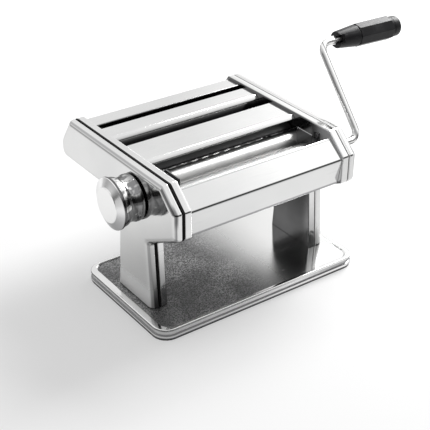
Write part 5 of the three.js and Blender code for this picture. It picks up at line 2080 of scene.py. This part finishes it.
@dataclass
class Studio:
    """Camera, floor, world and lamps, in metres."""

    eye: Corner = (-0.5392, -0.7278, 0.5915)
    right: Corner = (0.81086, -0.58520, 0.00701)
    up: Corner = (0.28978, 0.41187, 0.86394)
    ahead: Corner = (0.50846, 0.69851, -0.50354)
    lens: float = 90.52
    sensor: float = 36.0
    floor_side: float = 8.0
    floor_colour: Colour = (0.84, 0.84, 0.84)
    floor_glow: float = 0.45
    mirrored_glow: float = 0.6
    # The camera sees painted light on the floor: darker towards the left front, brighter to the right and
    # back.
    glow: Slope = Slope((0.83, 0.55), (-0.25, 0.3), 0.2)
    # Painted shadow on the floor that only metal mirrors: patches by the machine's left front, a streak, and
    # far slopes.
    corner: Patch = Patch(-0.13, -0.12, 55.0, 0.6)
    beside: Patch = Patch(-0.13, 0.05, 70.0, 0.4)
    streak_way: Place = (0.809, -0.588)
    streak_offset: float = 0.0515
    streak_rate: float = 700.0
    streak_rise: Stretch = (0.08, 0.16)
    streak_share: float = 0.95
    far: Sequence[Slope] = (Slope((0.7, -0.7), (0.08, 0.36), 0.4), Slope((-1.0, 0.0), (0.3, 0.7), 0.6),
                            Slope((0.0, -1.0), (0.35, 0.6), 0.95))
    room_front: Slope = Slope((0.0, -1.0), (0.25, 0.6), 0.95)
    front_height: Stretch = (0.35, 0.68)
    room_left: Slope = Slope((-0.92, -0.37), (0.62, 0.86), 0.75)
    left_height: Stretch = (0.42, 0.6)
    room_right: Slope = Slope((1.0, 0.0), (0.5, 0.6), 0.4)
    horizon: Slope = Slope((-1.0, 0.0), (0.2, 0.6), 0.65)
    horizon_height: Stretch = (0.0, 0.3)
    ambient: float = 0.66
    lamp_place: Corner = (1.2, 0.35, 1.15)
    lamp_aim: Corner = (0, 0, 0.06)
    lamp_size: float = 0.9
    lamp_power: float = 36.0

    def camera(self) -> None:
        """Adds the camera."""
        data = bpy.data.cameras.new("studio_camera")
        data.lens = self.lens
        data.sensor_width = self.sensor
        camera = bpy.data.objects.new("studio_camera", data)
        columns = [Vector(self.right), Vector(self.up), -Vector(self.ahead)]
        turn = Matrix([[c[i] for c in columns] for i in range(3)]).to_4x4()
        camera.matrix_world = Matrix.Translation(Vector(self.eye)) @ turn
        bpy.context.scene.collection.objects.link(camera)
        bpy.context.scene.camera = camera

    def mirrored(self, x: Signal, y: Signal) -> Signal:
        """The floor's level as metal mirrors it, with painted shadow by the machine's left front and far
        away.

        Args:
            x: Place along X.
            y: Place along Y.

        Returns:
            The level.
        """
        over, on = self.streak_way
        aside = x * over + y * on + self.streak_offset
        along = Slope((on, -over), self.streak_rise, self.streak_share)
        streak = (aside * aside).fading(self.streak_rate) * along.on(x, y)
        near = 1.0 - self.corner.on(x, y).at_least(streak)
        far, *others = [slope.on(x, y) for slope in self.far]
        for slope in others:
            far = far.at_least(slope)
        return near * (1.0 - self.beside.on(x, y)) * (1.0 - far)

    def floor(self) -> None:
        """Adds the pale floor, which keeps the machine's shadow."""
        floor = started("studio_floor", bpy.ops.mesh.primitive_plane_add, size=self.floor_side,
                        location=(0, 0, 0))
        with Bench(floor) as bench:
            bench.everything()
            bpy.ops.mesh.subdivide(number_cuts=1)
        made = bpy.data.materials.new("studio_floor_paint")
        made.use_nodes = True
        graph = Graph(made.node_tree)
        x, y, _ = graph.axes(graph.place())
        camera, glossy, through = graph.rays("Camera", "Glossy", "Transmission")
        # Painted light on the floor for the camera, and painted shadow on it for metal's reflections.
        glow = self.glow.on(x, y) + (1.0 - self.glow.share)
        mirrored = self.mirrored(x, y)
        paint = graph.node("ShaderNodeBsdfDiffuse", None, {"Color": (*self.floor_colour, 1.0)})
        shine = graph.node("ShaderNodeEmission", None, {
            "Color": mirrored + (glow - mirrored) * camera, "Strength": 1.0})
        seen = (camera + glossy + through).clamped()
        share = seen * (camera * self.floor_glow + (1.0 - camera) * self.mirrored_glow)
        graph.close(graph.node("ShaderNodeMixShader", None, {0: share, 1: paint, 2: shine}))
        floor.data.materials.append(made)

    def room(self, x: Signal, y: Signal, z: Signal) -> Signal:
        """The room's level as metal mirrors it: dark low in front, grey at the left and the horizon.

        Args:
            x: Direction along X.
            y: Direction along Y.
            z: Direction along Z.

        Returns:
            The level.
        """
        front = self.room_front.on(x, y) * (1.0 - z.eased(*self.front_height))
        left = self.room_left.on(x, y) * (1.0 - z.eased(*self.left_height))
        horizon = self.horizon.on(x, y) * z.near(0.0, self.horizon_height)
        return (1.0 + self.room_right.on(x, y)) * (1.0 - front) * (1.0 - horizon) * (1.0 - left)

    def world(self) -> None:
        """Lights the machine evenly, from a white room with dark parts that only metal shows."""
        world = bpy.data.worlds.new("studio_room")
        world.use_nodes = True
        bpy.context.scene.world = world
        graph = Graph(world.node_tree)
        room = self.room(*graph.axes(graph.node("ShaderNodeTexCoord", output="Generated")))
        camera, diffuse = graph.rays("Camera", "Diffuse")
        level = camera + (1.0 - camera) * (room + (self.ambient - room) * diffuse)
        graph.close(graph.node("ShaderNodeBackground", None, {"Color": level, "Strength": 1.0}),
                    "ShaderNodeOutputWorld")

    def lamp(self, name: str) -> None:
        """Adds the soft lamp.

        Args:
            name: The lamp's name.
        """
        data = bpy.data.lights.new(name, "AREA")
        data.size = self.lamp_size
        data.energy = self.lamp_power
        lamp = bpy.data.objects.new(name, data)
        lamp.location = self.lamp_place
        way = Vector(self.lamp_aim) - Vector(self.lamp_place)
        lamp.rotation_euler = way.to_track_quat("-Z", "Y").to_euler()
        bpy.context.scene.collection.objects.link(lamp)

    def build(self) -> None:
        """Sets the scene around the machine."""
        bpy.context.scene.view_settings.view_transform = "Standard"
        self.camera()
        self.floor()
        self.world()
        self.lamp("soft_box_right")


def main() -> None:
    """Dresses the machine and reports each piece."""
    logging.basicConfig(level=logging.INFO, format="%(name)s: %(message)s")
    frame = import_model()
    walls = SideWalls()
    Studio().build()
    walls.build()
    Base().build()
    Deck(walls).build()
    SmoothRollers().build()
    Cutters().build()
    Knob().build()
    Crank.on_joint(frame["record"]).build()
    CarriedNodes().build(frame)


if __name__ == "__main__":
    main()
